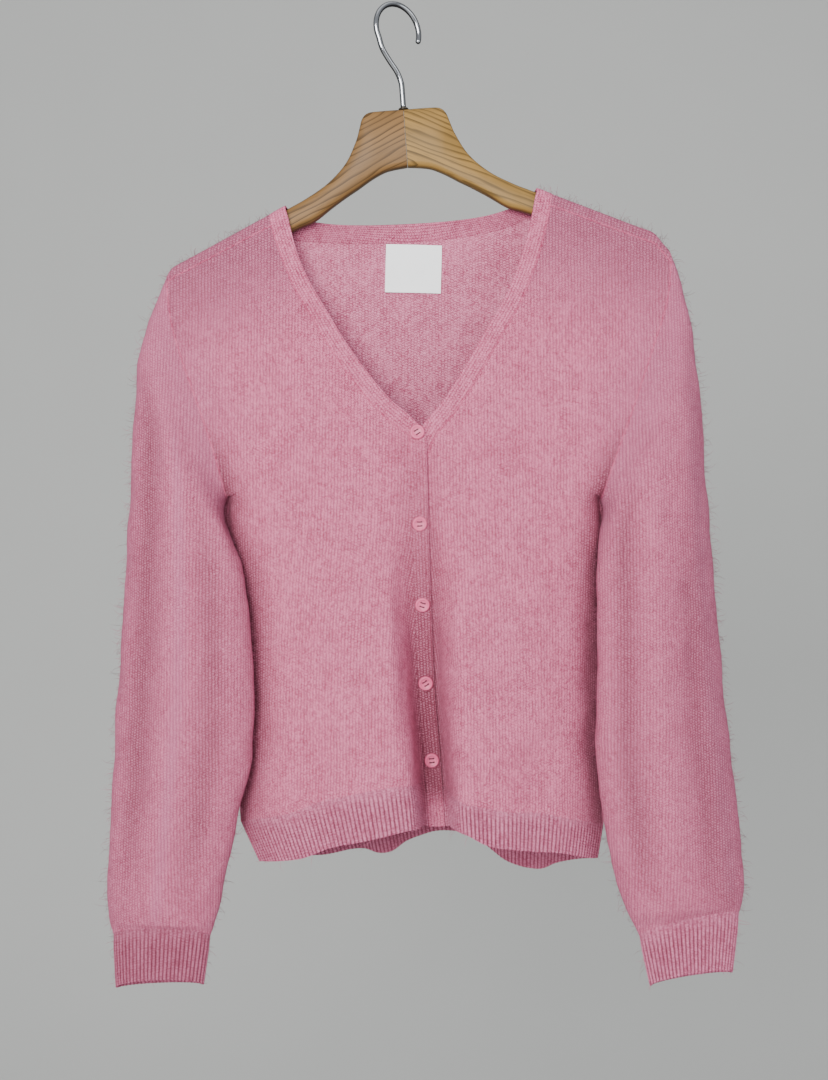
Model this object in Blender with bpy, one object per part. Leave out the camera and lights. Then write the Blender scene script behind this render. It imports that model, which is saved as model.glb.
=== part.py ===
"""A fluffy V-neck cardigan hanging on a wooden clothes hanger, each piece a solid of its own.

The origin is the inside top of the hook, where a rail carries it. +X is to the viewer's right, -Y is the
front and +Z is up. Right and left in names are the wearer's, so the right side lies at -X.
All sizes are in millimetres and turned into metres when a mesh is made.
"""

import math

import bmesh
import bpy
import numpy as np
from mathutils import Vector
from mathutils.bvhtree import BVHTree

MM = 0.001

# Cloth
WALL = 2.5
BODY_CLEARANCE = 0.17
ARM_CLEARANCE = 0.78
RIB_CLEARANCE = 0.4
BAND_WIDTH = 14.0
UNDERLAP = WALL + 0.5
RIB_PITCH = 3.7
RIB_HEIGHT = 0.9

# Rows and columns of the panels' nets
ARM_ROWS = 9
SIDE_ROWS = 11
ROWS = ARM_ROWS + SIDE_ROWS
FRONT_STEPS = (0.0, 0.05, 0.14, 0.28, 0.44, 0.60, 0.75, 0.86, 0.93, 0.97, 1.0)
NECK_COLUMNS = 9
NECK_BUNCHING = 0.05
NECK_FULLNESS = 3.0
NECK_FULLNESS_REACH = 50.0
COLUMN_EASE = 0.12
RING_POINTS = 24

# Shoulder: how far the cloth stands round the wood
ROLL_DEPTH = 10.8
ROLL_DROPS = (0.0, 1.0, 4.0, 11.2)

# Hanger
HANGER_TILT = math.radians(4.2)
WOOD_EDGE = 4.5
WIRE_RADIUS = 2.4
WIRE_SIDES = 8
LOOP_RADIUS = 22.4
LOOP_TURN = math.radians(35.0)
COLLAR_RADIUS = 4.4
COLLAR_HEIGHT = 1.3
COLLAR_BEVEL = 0.6
BLOCK_TOP = 90.0

# Buttons
BUTTON_RADIUS = 6.25
BUTTON_THICKNESS = 2.8
BUTTON_DROPS = (372.0, 450.0, 519.0, 587.0, 654.5)
THREAD_HOLE_RADIUS = 0.8
THREAD_HOLE_OFFSET = 1.7
PIN_FOOT = -2.0
PIN_TOP = 5.0

# Label
LABEL_WIDTH = 49.0
LABEL_HEIGHT = 42.0
LABEL_CENTRE = 15.2
LABEL_DROP = 225.5
LABEL_THICKNESS = 0.8

# Pieces that rest on others, and where rays that look for them start
REST_GAP = 0.35
BUTTON_SEAT = 0.45
INSIDE_START = -6.0
OUTSIDE_START = -90.0


def smooth_line(keys, values, at):
    """Read a curve through values at rising keys that never swings past them."""
    keys = np.asarray(keys, float)
    values = np.asarray(values, float)
    at = np.clip(at, keys[0], keys[-1])
    step = np.diff(keys)
    rise = np.diff(values) / step
    slope = np.zeros(len(keys))
    slope[0] = rise[0]
    slope[-1] = rise[-1]
    for i in range(1, len(keys) - 1):
        if rise[i - 1] * rise[i] > 0.0:
            slope[i] = 2.0 / (1.0 / rise[i - 1] + 1.0 / rise[i])
    i = np.clip(np.searchsorted(keys, at) - 1, 0, len(keys) - 2)
    u = (at - keys[i]) / step[i]
    return ((1.0 + 2.0 * u) * (1.0 - u) ** 2 * values[i] + u * (1.0 - u) ** 2 * step[i] * slope[i]
            + u * u * (3.0 - 2.0 * u) * values[i + 1] + u * u * (u - 1.0) * step[i] * slope[i + 1])


class Table:
    """Rows of named columns. The first column is the key, and the others are read smoothly at it."""

    def __init__(self, columns, *rows):
        self.columns = columns.split()
        self.rows = np.array(rows, float)

    def read(self, column, key):
        return smooth_line(self.rows[:, 0], self.rows[:, self.columns.index(column)], key)


# Drops are measured down from the hook seat. Front and back are half depths from the hanger's plane.
DEPTH = Table("drop front back",
              (150, 10.8, 10.8), (190, 11.2, 13.5), (230, 12.5, 15.0), (260, 15.0, 17.0), (350, 25.0, 23.0),
              (450, 35.0, 30.0), (550, 43.0, 36.0), (650, 49.0, 40.0), (715, 51.0, 43.0), (760, 50.0, 43.0))

SIDE_SEAM = Table("drop right left",
                  (429, -146.2, 177.4), (440, -146.3, 179.0), (457, -145.8, 179.3), (473, -142.8, 178.6),
                  (495, -138.6, 178.0), (520, -136.0, 177.6), (550, -134.6, 177.3), (600, -134.2, 177.3),
                  (650, -135.0, 178.5), (700, -136.5, 181.0), (712, -134.0, 180.5), (728, -126.0, 178.0),
                  (744, -118.5, 175.0))

# The front opening: the neck edge of each band, and how deep the opening sinks between the two fronts.
RIGHT_EDGE = Table("drop x",
                   (172, -95.5), (189, -92.3), (207, -87.9), (232, -78.9), (255, -65.7), (284, -49.2),
                   (314, -28.6), (338, -9.8), (355, 8.1), (362, 18.0), (370, 24.4), (382, 26.0), (404, 26.7),
                   (462, 28.4), (520, 30.4), (593, 33.5), (652, 38.3), (690, 41.0), (716, 42.7))
LEFT_EDGE = Table("drop x",
                  (158, 121.8), (188, 116.7), (211, 110.6), (244, 99.0), (271, 85.0), (289, 73.8),
                  (316, 59.2), (333, 48.1), (350, 36.5), (362, 26.5), (374, 18.0), (388, 13.4), (404, 12.6),
                  (462, 14.4), (520, 16.4), (593, 19.5), (652, 24.3), (690, 27.0), (716, 28.7))
OPENING = Table("drop depth wall",
                (372, 0.0, 40.0), (420, 3.0, 34.0), (460, 8.0, 28.0), (540, 24.0, 20.0), (600, 37.0, 15.0),
                (650, 44.0, 13.0), (690, 47.0, 12.0), (745, 47.0, 12.0))
UNDERLAP_FADE = (322.0, 350.0)
UNDERLAP_REACH = 12.0
SHOULDER_REACH = 3.0
ROLL_REACH = 2.0
BAND_OVERLAY = 0.6
BAND_EDGE_EASE = 1.5

# The shoulder ridge, x against drop, from the neck seam to the tip.
RIDGE = {
    "right": Table("reach x drop",
                   (0, -78.0, 163.6), (1, -94.3, 172.7), (2, -192.6, 226.6), (3, -197.0, 232.0)),
    "left": Table("reach x drop",
                  (0, 101.5, 150.4), (1, 119.1, 157.1), (2, 222.6, 196.7), (3, 236.7, 212.5)),
}
NECK_EDGE_X = {"right": -95.5, "left": 121.8}
NECK_CURVE_IN = (0.0, 0.8, 2.6, 6.0)
NECK_EDGE_FALL = 0.75
NECK_SEAM_X = {"right": (-109.8, -109.5, -108.8, -107.5), "left": (136.0, 135.6, 134.8, 133.3)}

# The armhole, from the shoulder tip down to the underarm.
ARMHOLE = {
    "right": Table("below x front back",
                   (0, -197.0, 10.8, 10.8), (11.2, -197.4, 10.8, 10.8), (30, -196.0, 11.5, 11.5),
                   (52, -191.5, 13.5, 13.0), (90, -179.0, 16.5, 15.5), (132, -164.0, 18.5, 17.0),
                   (174, -151.0, 18.0, 17.0), (197, -146.2, 16.0, 16.0)),
    "left": Table("below x front back",
                  (0, 236.7, 10.8, 10.8), (11.2, 237.6, 10.8, 10.8), (30, 237.0, 11.5, 11.5),
                  (55, 231.0, 13.5, 13.0), (95, 218.0, 16.5, 15.5), (140, 203.0, 18.5, 17.0),
                  (188, 186.0, 18.0, 17.0), (216.5, 177.4, 16.0, 16.0)),
}
UNDERARM_ROUND = 25.0
SIDE_ROUND = 18.0
RIM_END_ROW = 15.0
LENS_POWER = 2.2
LENS_ROOT = 0.714
SLEEVE_FULLNESS = 0.8
CREASE_FROM = -0.3
CREASE_TO = 0.3

# Points nearer than a hundredth of a millimetre are one point
NEAR_SCALE = 100.0

# Where the ribs start and end on each front, from the side seam (0) to the band (1).
FRONT_HEM = {
    "right": Table("share top bottom",
                   (0, 708, 743), (0.14, 701, 738), (0.30, 694, 732), (0.46, 683, 721), (0.66, 675, 714.5),
                   (0.82, 670, 708), (0.90, 669, 706), (1.0, 675, 712)),
    "left": Table("share top bottom",
                  (0, 711, 740), (0.08, 707, 738), (0.22, 701, 730), (0.42, 694, 726.5), (0.63, 691, 722),
                  (0.80, 686, 716.5), (0.90, 683, 708), (1.0, 675, 712)),
}
BACK_HEM = Table("x top bottom",
                 (-135, 708, 743), (-80, 705, 744), (-45, 702, 741), (-20, 707, 747), (5, 694, 733),
                 (35, 685, 724), (60, 688, 727), (85, 704, 743), (105, 716, 755), (127, 719, 758),
                 (147, 711, 749), (181, 711, 740))

BACK_NECK = Table("x top y",
                  (-95.5, 173.8, 0.5), (-89, 180.0, 8.5), (-73, 184.7, 11.0), (-58, 186.0, 12.0),
                  (-32, 187.3, 13.0), (3, 186.4, 13.5), (45, 183.7, 13.5), (74, 179.8, 12.5),
                  (92, 175.5, 11.0), (108, 169.0, 9.5), (121.8, 158.8, 0.5))
BACK_NECK_SEAM = Table("x drop",
                       (-107.5, 193.4), (-99, 198.0), (-86, 201.0), (-58, 202.5), (-30, 203.3), (10, 202.2),
                       (45, 199.5), (75, 195.0), (98, 189.0), (117, 181.5), (133.3, 174.4))

# Soft vertical folds: forward ridges are positive and troughs negative.
FRONT_FOLDS = (
    # top x, top drop, bottom x, bottom drop, half width, height
    (-120, 300, -88, 700, 22, 3.5),
    (-60, 380, -45, 712, 20, 4.0),
    (-92, 420, -68, 712, 12, -3.0),
    (-20, 430, -6, 700, 13, 3.0),
    (150, 330, 142, 715, 20, 3.5),
    (104, 380, 104, 712, 18, 3.5),
    (126, 430, 123, 712, 11, -3.0),
    (72, 400, 68, 700, 13, 3.0),
)
BACK_FOLDS = (
    (-100, 300, -104, 720, 22, 4.0),
    (-60, 260, -68, 735, 18, -4.0),
    (-30, 340, -22, 745, 20, 7.0),
    (15, 250, 34, 725, 24, -6.0),
    (70, 300, 76, 735, 16, 2.5),
    (110, 340, 118, 750, 22, 7.0),
    (150, 320, 152, 740, 18, -3.5),
)


def soft_step(low, high, value):
    share = np.clip((value - low) / (high - low), 0.0, 1.0)
    return share * share * (3.0 - 2.0 * share)


def lens(across):
    """Depth of a flat hanging tube across its width, from -1 to 1."""
    return (1.0 - min(abs(across), 1.0) ** LENS_POWER) ** LENS_ROOT


def folds(table, x, drop):
    """Sum of the soft folds at a point, each along its own slanted line."""
    height = 0.0
    for top_x, top, bottom_x, bottom, half_width, rise in table:
        share = (drop - top) / (bottom - top)
        centre = top_x + (bottom_x - top_x) * share
        height += rise * soft_step(-0.05, 0.6, share) * math.exp(-((x - centre) / half_width) ** 2)
    return height


def ridge_drop(side, x):
    table = RIDGE[side]
    order = np.argsort(table.rows[:, 1])
    return float(np.interp(x, table.rows[order, 1], table.rows[order, 2]))


def roll_y(below):
    """Half depth of the shoulder roll at a height below its ridge."""
    lift = 1.0 - min(1.0, below / ROLL_DROPS[-1])
    return ROLL_DEPTH * (1.0 - lift ** 3) ** (1.0 / 3.0)


def underarm_rounding(side, below):
    """From 1 down to 0 where the armhole closes under the arm."""
    end = 1.0 - min(1.0, (ARMHOLE[side].rows[-1, 0] - below) / UNDERARM_ROUND)
    return math.sqrt(max(0.0, 1.0 - end * end))


def armhole_point(side, below, face):
    """A point of the armhole. Face is front or back."""
    table = ARMHOLE[side]
    depth = float(table.read(face, below)) * roll_y(below) / ROLL_DEPTH * underarm_rounding(side, below)
    sign = -1.0 if face == "front" else 1.0
    tip = RIDGE[side].rows[-1, 2]
    return np.array([float(table.read("x", below)), sign * depth, -(tip + below)])


def armhole_drops(side):
    """Heights below the shoulder tip of the armhole's points, finer towards the underarm."""
    length = ARMHOLE[side].rows[-1, 0]
    top = ROLL_DROPS[-1]
    rows = [top + (length - top) * math.sin(math.pi / 2.0 * i / ARM_ROWS) for i in range(ARM_ROWS + 1)]
    return list(ROLL_DROPS[:-1]) + rows


def armhole_loop(side):
    """The whole armhole from the ridge, down the front to the underarm and up the back."""
    drops = armhole_drops(side)
    front = [armhole_point(side, below, "front") for below in drops]
    back = [armhole_point(side, below, "back") for below in drops[-2:0:-1]]
    return front + back


def edge_x(side, drop):
    return float((RIGHT_EDGE if side == "right" else LEFT_EDGE).read("x", drop))


def band_station(side, drop):
    """Neck edge and seam of a front band, where the neck edge is at this drop. The band turns with it."""
    step = 3.0
    top = edge_x(side, drop - step)
    low = edge_x(side, drop + step)
    along = np.array([low - top, -2.0 * step])
    along /= np.linalg.norm(along)
    outward = np.array([along[1], -along[0]]) * (1.0 if side == "right" else -1.0)
    edge = np.array([edge_x(side, drop), -drop])
    return edge, edge + outward * BAND_WIDTH


# Drops of the bands' neck edges at the panels' rows, from the shoulder seam to the rib.
BAND_DROPS = {
    "right": (0, 214, 240, 266, 293, 320, 343, 358, 373, 392),
    "left": (0, 199, 226, 254, 281, 306, 328, 347, 366, 392),
}
RIB_TOP_DROP = 675.0
RIB_END_DROP = 712.0


def row_below(side, row):
    """Height below the shoulder tip where a row meets the armhole."""
    return float(np.interp(row, range(ARM_ROWS + 1), armhole_drops(side)[len(ROLL_DROPS) - 1:]))


def side_rim(side, row, face, drop):
    """How deep the body still is where it meets the sleeve, and how far that edge is closed."""
    below = row_below(side, min(row, ARM_ROWS))
    rim = float(ARMHOLE[side].read(face, below)) / float(DEPTH.read(face, drop))
    rim = min(1.0, rim) * (1.0 - soft_step(ARM_ROWS, RIM_END_ROW, row))
    closed = underarm_rounding(side, below) if row <= ARM_ROWS else 0.0
    return rim, closed


def side_closure(closed, distance):
    """The body's edge rounds in over a short way from its side seam."""
    near_side = 1.0 - min(1.0, abs(distance) / SIDE_ROUND)
    return closed + (1.0 - closed) * math.sqrt(1.0 - near_side * near_side)


def front_body_y(side, x, drop, row):
    """Outer face of the front at a place on a row."""
    right, left = row_sides(row)
    middle = (right[0] + left[0]) / 2.0
    half = (left[0] - right[0]) / 2.0
    own = right if side == "right" else left
    depth = float(DEPTH.read("front", drop))
    rim, closed = side_rim(side, row, "front", -own[2])
    y = -depth * (rim + (1.0 - rim) * lens((x - middle) / half)) * side_closure(closed, x - own[0])
    y -= folds(FRONT_FOLDS, x, drop) * lens((x - middle) / half)
    if row < ROLL_REACH:
        y += (-ROLL_DEPTH - y) * (1.0 - soft_step(0.0, ROLL_REACH, row))
    centre = edge_x("right", drop) - BAND_WIDTH / 2.0
    aside = abs(x - centre) - BAND_WIDTH / 2.0 - BAND_EDGE_EASE
    sink = float(OPENING.read("depth", drop))
    wall = float(OPENING.read("wall", drop))
    return y + sink * (1.0 - soft_step(0.0, wall, aside))


def underlap(side, drop, from_seam):
    """How far the left front and its band lie behind the right one."""
    if side == "right":
        return 0.0
    fade = soft_step(UNDERLAP_FADE[0], UNDERLAP_FADE[1], drop)
    return UNDERLAP * fade * (1.0 - soft_step(0.0, UNDERLAP_REACH, from_seam))


def row_sides(row):
    """The two side points of a row, on the armholes above the underarms and on the side seams below."""
    points = []
    for side in ("right", "left"):
        if row <= ARM_ROWS:
            points.append(armhole_point(side, row_below(side, row), "front"))
        else:
            top = -armhole_point(side, ARMHOLE[side].rows[-1, 0], "front")[2]
            low = float(FRONT_HEM[side].read("top", 0.0))
            end = float(FRONT_HEM[side].read("bottom", 0.0))
            if row <= ROWS:
                drop = top + (low - top) * (row - ARM_ROWS) / SIDE_ROWS
            else:
                drop = low + (end - low) * (row - ROWS)
            points.append(np.array([float(SIDE_SEAM.read(side, drop)), 0.0, -drop]))
    return points


def band_seam(side, row):
    """Neck edge and seam (x and z) of the front band at a row."""
    if row == 0:
        x = NECK_SEAM_X[side][-1]
        drop = ridge_drop(side, NECK_SEAM_X[side][0]) + ROLL_DROPS[-1]
        neck_x = NECK_EDGE_X[side]
        neck_drop = ridge_drop(side, neck_x) + ROLL_DROPS[-1]
        return np.array([edge_x(side, neck_drop), -neck_drop]), np.array([x, -drop])
    if row <= ARM_ROWS:
        return band_station(side, BAND_DROPS[side][row])
    if row <= ROWS:
        drop = BAND_DROPS[side][-1] + (RIB_TOP_DROP - BAND_DROPS[side][-1]) * (row - ARM_ROWS) / SIDE_ROWS
    else:
        drop = RIB_TOP_DROP + (RIB_END_DROP - RIB_TOP_DROP) * (row - ROWS)
    inner = edge_x("right", drop)
    if side == "right":
        return np.array([inner, -drop]), np.array([inner - BAND_WIDTH, -drop])
    inner += BAND_OVERLAY
    return np.array([inner - BAND_WIDTH, -drop]), np.array([inner, -drop])


def shoulder_rise(side, share):
    """How far the shoulder seam lies above the straight line between its ends."""
    ends = wing_point(side, 0, 0.0)[2] * (1.0 - share) + wing_point(side, 0, 1.0)[2] * share
    return wing_point(side, 0, share)[2] - ends


def front_point(side, share, row):
    """A point of a front, from its side (0) to its band seam (1)."""
    outer = row_sides(row)[side == "left"]
    seam = band_seam(side, row)[1]
    x = outer[0] + (seam[0] - outer[0]) * share
    z = outer[2] + (seam[1] - outer[2]) * share
    if row < SHOULDER_REACH:
        start = shoulder_rise(side, share)
        z += start * (1.0 - soft_step(0.0, SHOULDER_REACH, row))
    if row > ARM_ROWS:
        hem = FRONT_HEM[side]
        top = -float(hem.read("top", share))
        low = -float(hem.read("bottom", share))
        if row <= ROWS:
            straight = row_sides(ROWS)[side == "left"][2] * (1.0 - share) - RIB_TOP_DROP * share
            z += (top - straight) * (row - ARM_ROWS) / SIDE_ROWS
        else:
            z = top + (low - top) * (row - ROWS)
    y = front_body_y(side, x, -z, row)
    if share == 0.0:
        y = outer[1]
    return np.array([x, y + underlap(side, -z, abs(x - seam[0])), z])


def wing_point(side, step, share):
    """The shoulder over the wood, from the armhole (0) to the neck seam (1). Steps run front to back."""
    place = step - (len(ROLL_DROPS) - 1)
    below = ROLL_DROPS[abs(place)]
    arm = armhole_point(side, below, "front")
    tip = RIDGE[side].rows[-1, 1]
    neck = NECK_SEAM_X[side][abs(place)]
    x = arm[0] + (neck - arm[0]) * share
    at = tip + (NECK_SEAM_X[side][0] - tip) * share
    y = roll_y(below) * (-1.0 if place < 0 else 1.0)
    return np.array([x, y, -(ridge_drop(side, at) + below)])


def back_columns():
    """The top line of the back: one wing, the neck seam and the other wing."""
    last = 2 * (len(ROLL_DROPS) - 1)
    right = [wing_point("right", last, share) for share in FRONT_STEPS[:-1]]
    left = [wing_point("left", last, share) for share in FRONT_STEPS[-2::-1]]
    start = NECK_SEAM_X["right"][-1]
    end = NECK_SEAM_X["left"][-1]
    neck = []
    for i in range(NECK_COLUMNS + 1):
        share = i / NECK_COLUMNS
        x = start + (end - start) * (share - NECK_BUNCHING * math.sin(2.0 * math.pi * share))
        away = min(x - start, end - x)
        y = ROLL_DEPTH + NECK_FULLNESS * soft_step(0.0, NECK_FULLNESS_REACH, away)
        neck.append(np.array([x, y, -float(BACK_NECK_SEAM.read("drop", x))]))
    neck[0] = wing_point("right", last, 1.0)
    neck[-1] = wing_point("left", last, 1.0)
    return right + neck + left


def back_point(column, row, top_line):
    """A point of the back on a column and a row."""
    top = top_line[column]
    first = top_line[0]
    last = top_line[-1]
    right, left = row_sides(row)
    right_back, left_back = back_sides(row)
    share = (top[0] - first[0]) / (last[0] - first[0])
    eased = COLUMN_EASE + (1.0 - 2.0 * COLUMN_EASE) * column / (len(top_line) - 1)
    even = 0.5 - 0.5 * math.cos(math.pi * eased) / math.cos(math.pi * COLUMN_EASE)
    share += (even - share) * soft_step(0.0, ARM_ROWS, row)
    x = right[0] + (left[0] - right[0]) * share
    hem_x = SIDE_SEAM.read("right", 708) * (1.0 - share) + SIDE_SEAM.read("left", 711) * share
    rib_top = -float(BACK_HEM.read("top", hem_x))
    rib_end = -float(BACK_HEM.read("bottom", hem_x))
    side_top = (1.0 - share) * first[2] + share * last[2]
    side_low = (1.0 - share) * row_sides(ROWS)[0][2] + share * row_sides(ROWS)[1][2]
    side_here = (1.0 - share) * right[2] + share * left[2]
    if row <= ROWS:
        z = top[2] + (rib_top - top[2]) * (side_here - side_top) / (side_low - side_top)
    else:
        z = rib_top + (rib_end - rib_top) * (row - ROWS)
    drop = -z
    middle = (right[0] + left[0]) / 2.0
    across = (x - middle) / ((left[0] - right[0]) / 2.0)
    depth = float(DEPTH.read("back", drop))
    rim_right, closed_right = side_rim("right", row, "back", -right[2])
    rim_left, closed_left = side_rim("left", row, "back", -left[2])
    rim = rim_right + (rim_left - rim_right) * (across + 1.0) / 2.0
    y = depth * (rim + (1.0 - rim) * lens(across)) + folds(BACK_FOLDS, x, drop) * lens(across)
    y *= side_closure(closed_right, x - right[0]) * side_closure(closed_left, x - left[0])
    y += (top[1] - y) * (1.0 - soft_step(0.0, SHOULDER_REACH, row))
    if column == 0:
        return right_back.copy()
    if column == len(top_line) - 1:
        return left_back.copy()
    return np.array([x, y, z])


def back_sides(row):
    points = []
    for place, side in enumerate(("right", "left")):
        point = row_sides(row)[place].copy()
        if row <= ARM_ROWS:
            point = armhole_point(side, row_below(side, row), "back")
        points.append(point)
    return points


# Sleeves, from the armhole (ring 0) to the wrist. Out is the outer outline and in the one by the body.
SLEEVE = {
    "right": Table("ring out_x out_drop in_x in_drop out_y in_y front back",
                   (0, -197, 232, -146, 429, 0, 0, 18, 17), (1, -206, 252, -149, 436, -1, -4, 19, 17),
                   (2, -216, 277, -148, 446, -2, -9, 20, 18), (3, -223, 306, -143.5, 457, -3, -14, 22, 19),
                   (4, -226, 346, -136, 473, -4, -19, 24, 20), (5, -229, 400, -129, 495, -5, -22, 25, 21),
                   (6, -232, 462, -123, 545, -6, -25, 26, 21), (7, -236, 533, -120.5, 598, -7, -26, 26, 21),
                   (8, -241, 608, -122.5, 646, -8, -25, 25, 20), (9, -245, 690, -133, 694, -10, -23, 23, 18),
                   (10, -248.5, 745, -144, 745, -10, -19, 21, 16),
                   (11, -248.5, 785, -153, 787, -10, -16, 18, 14),
                   (12, -243.5, 804, -159.5, 804, -10, -14, 13, 11),
                   (13, -241, 850, -165.5, 846, -10, -14, 12, 10)),
    "left": Table("ring out_x out_drop in_x in_drop out_y in_y front back",
                  (0, 236.7, 212.5, 177.4, 429, 0, 0, 18, 17), (1, 249, 246, 180, 436, -1, -4, 19, 17),
                  (2, 256, 279, 179, 446, -2, -9, 20, 18), (3, 261, 313, 176, 457, -3, -14, 22, 19),
                  (4, 265, 353, 173, 474, -4, -19, 24, 20), (5, 267.5, 400, 172, 497, -5, -22, 25, 21),
                  (6, 272, 462, 172, 545, -6, -25, 26, 21), (7, 278, 533, 171.5, 598, -7, -26, 26, 21),
                  (8, 285, 608, 170.5, 646, -8, -25, 25, 20), (9, 294, 688, 177, 698, -10, -23, 23, 18),
                  (10, 299.5, 742, 186.5, 747, -10, -19, 21, 16),
                  (11, 299.5, 771, 198, 781, -10, -16, 18, 14),
                  (12, 296, 786, 209.5, 804, -10, -14, 13, 11),
                  (13, 290, 837, 219, 847, -10, -14, 12, 10)),
}
RINGS = 12
ARMHOLE_SHARE = (1.0, 0.72, 0.5, 0.32, 0.18, 0.08, 0.0)
CUFF_ARCH = 9.0
SLEEVE_FOLDS = {
    # place across from the outer edge (0) to the inner edge (1), first ring, last ring, half width, height
    "right": ((0.42, 1.5, 11.5, 0.11, 4.0), (0.2, 2.5, 10.5, 0.08, -3.0), (0.72, 4.0, 11.0, 0.1, -2.5)),
    "left": ((0.5, 1.5, 11.5, 0.13, 3.5), (0.78, 2.5, 11.0, 0.09, -3.0), (0.25, 5.0, 11.5, 0.1, -2.5)),
}


def sleeve_ring(side, ring):
    """The closed ring of a sleeve, in the same order as the armhole."""
    loop = armhole_loop(side)
    if ring == 0:
        return loop
    table = SLEEVE[side]
    cell = {name: float(table.read(name, ring)) for name in table.columns}
    out = np.array([cell["out_x"], cell["out_y"], -cell["out_drop"]])
    inner = np.array([cell["in_x"], cell["in_y"], -cell["in_drop"]])
    kept = float(np.interp(ring, range(len(ARMHOLE_SHARE)), ARMHOLE_SHARE))
    top = loop[0]
    low = loop[RING_POINTS // 2]
    axis = low - top
    points = []
    for i, start in enumerate(loop):
        angle = 2.0 * math.pi * i / RING_POINTS
        own = float(np.dot(start - top, axis) / np.dot(axis, axis))
        bow = start - top - axis * own
        share = own * kept + (0.5 - 0.5 * math.cos(angle)) * (1.0 - kept)
        is_front = i <= RING_POINTS // 2
        depth = cell["front"] if is_front else cell["back"]
        round_y = depth * lens(2.0 * share - 1.0) ** SLEEVE_FULLNESS * (-1.0 if is_front else 1.0)
        if i in (0, RING_POINTS // 2):
            round_y = 0.0
        point = out + (inner - out) * share + bow * kept
        point[1] += round_y * (1.0 - kept)
        for place, first, last, width, rise in SLEEVE_FOLDS[side]:
            if ring > RINGS:
                continue
            envelope = soft_step(first, first + 2.0, ring) * (1.0 - soft_step(last - 2.0, last, ring))
            height = rise * envelope * math.exp(-((share - place) / width) ** 2)
            point[1] -= height if is_front else -0.6 * height
        if ring >= RINGS - 1 and is_front:
            point[2] += CUFF_ARCH * math.sin(angle) * min(1.0, ring - RINGS + 1.0)
        points.append(point)
    return points


def material(name, colour, roughness, metallic=0.0):
    paint = bpy.data.materials.new(name)
    paint.use_nodes = True
    shader = paint.node_tree.nodes["Principled BSDF"]
    shader.inputs["Base Color"].default_value = (*colour, 1.0)
    shader.inputs["Roughness"].default_value = roughness
    shader.inputs["Metallic"].default_value = metallic
    paint.diffuse_color = (*colour, 1.0)
    return paint


def add_object(name, points, faces, paint, smooth=True):
    """One closed mesh object. Points are in millimetres."""
    mesh = bpy.data.meshes.new(name)
    mesh.from_pydata([tuple(float(v) * MM for v in point) for point in points], [], faces)
    work = bmesh.new()
    work.from_mesh(mesh)
    bmesh.ops.recalc_face_normals(work, faces=work.faces)
    work.to_mesh(mesh)
    work.free()
    if smooth:
        mesh.shade_smooth()
        mesh.set_sharp_from_angle(angle=math.radians(40.0))
    mesh.materials.append(paint)
    thing = bpy.data.objects.new(name, mesh)
    bpy.context.scene.collection.objects.link(thing)
    return thing


class Net:
    """One knitted piece as a net of outer points and four-sided faces."""

    def __init__(self, name):
        self.name = name
        self.points = []
        self.faces = []
        self.places = {}

    def grid(self, rows, closed=False):
        """Add rows of points, joined to each other. Points that meet earlier ones are shared."""
        index = [[self.point(place) for place in row] for row in rows]
        for upper, lower in zip(index, index[1:]):
            count = len(upper)
            for i in range(count if closed else count - 1):
                j = (i + 1) % count
                self.faces.append((upper[i], lower[i], lower[j], upper[j]))

    def point(self, place):
        key = near(place)
        if key not in self.places:
            self.places[key] = len(self.points)
            self.points.append(np.array(place, float))
        return self.places[key]

    def face_normal(self, face):
        corner = [self.points[i] for i in face]
        return np.cross(corner[2] - corner[0], corner[3] - corner[1])


def near(place):
    return tuple(int(round(float(v) * NEAR_SCALE)) for v in place)


def summed_normals(nets):
    """Area-weighted normals at every point of some pieces."""
    sums = {}
    for net in nets:
        for face in net.faces:
            normal = net.face_normal(face)
            for i in face:
                key = near(net.points[i])
                sums[key] = sums.get(key, np.zeros(3)) + normal
    return sums


def group_normals(group, others):
    """Normals of a group of pieces, shared at its seams with the others except in a sharp crease.

    Under the arm the sleeve and the body fold against each other, so each keeps its own."""
    own = summed_normals(group)
    beside = summed_normals(others)
    normals = {}
    for key, total in own.items():
        unit = total / max(np.linalg.norm(total), 1e-9)
        other = beside.get(key, np.zeros(3))
        alike = float(np.dot(unit, other)) / max(np.linalg.norm(other), 1e-9)
        total = total + other * soft_step(CREASE_FROM, CREASE_TO, alike)
        normals[key] = total / max(np.linalg.norm(total), 1e-9)
    return normals


def edge_shifts(net, clearance):
    """How each edge point moves into its piece, to leave its share of the seam gap."""
    uses = {}
    for face in net.faces:
        for a, b in zip(face, face[1:] + face[:1]):
            key = (min(a, b), max(a, b))
            uses.setdefault(key, []).append(face)
    shifts = {}
    border = []
    for (a, b), faces in uses.items():
        if len(faces) > 1:
            continue
        border.append((a, b))
        start = net.points[a]
        along = net.points[b] - start
        along /= np.linalg.norm(along)
        centre = sum(net.points[i] for i in faces[0]) / len(faces[0])
        inward = centre - start
        inward -= along * np.dot(inward, along)
        inward /= np.linalg.norm(inward)
        for i in (a, b):
            shifts.setdefault(i, []).append(inward)
    moved = {}
    for i, inwards in shifts.items():
        if len(inwards) == 2:
            both = inwards[0] + inwards[1]
            moved[i] = both / max(0.5, 1.0 + float(np.dot(inwards[0], inwards[1]))) * clearance
        else:
            moved[i] = inwards[0] * clearance
    return moved, border


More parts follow.
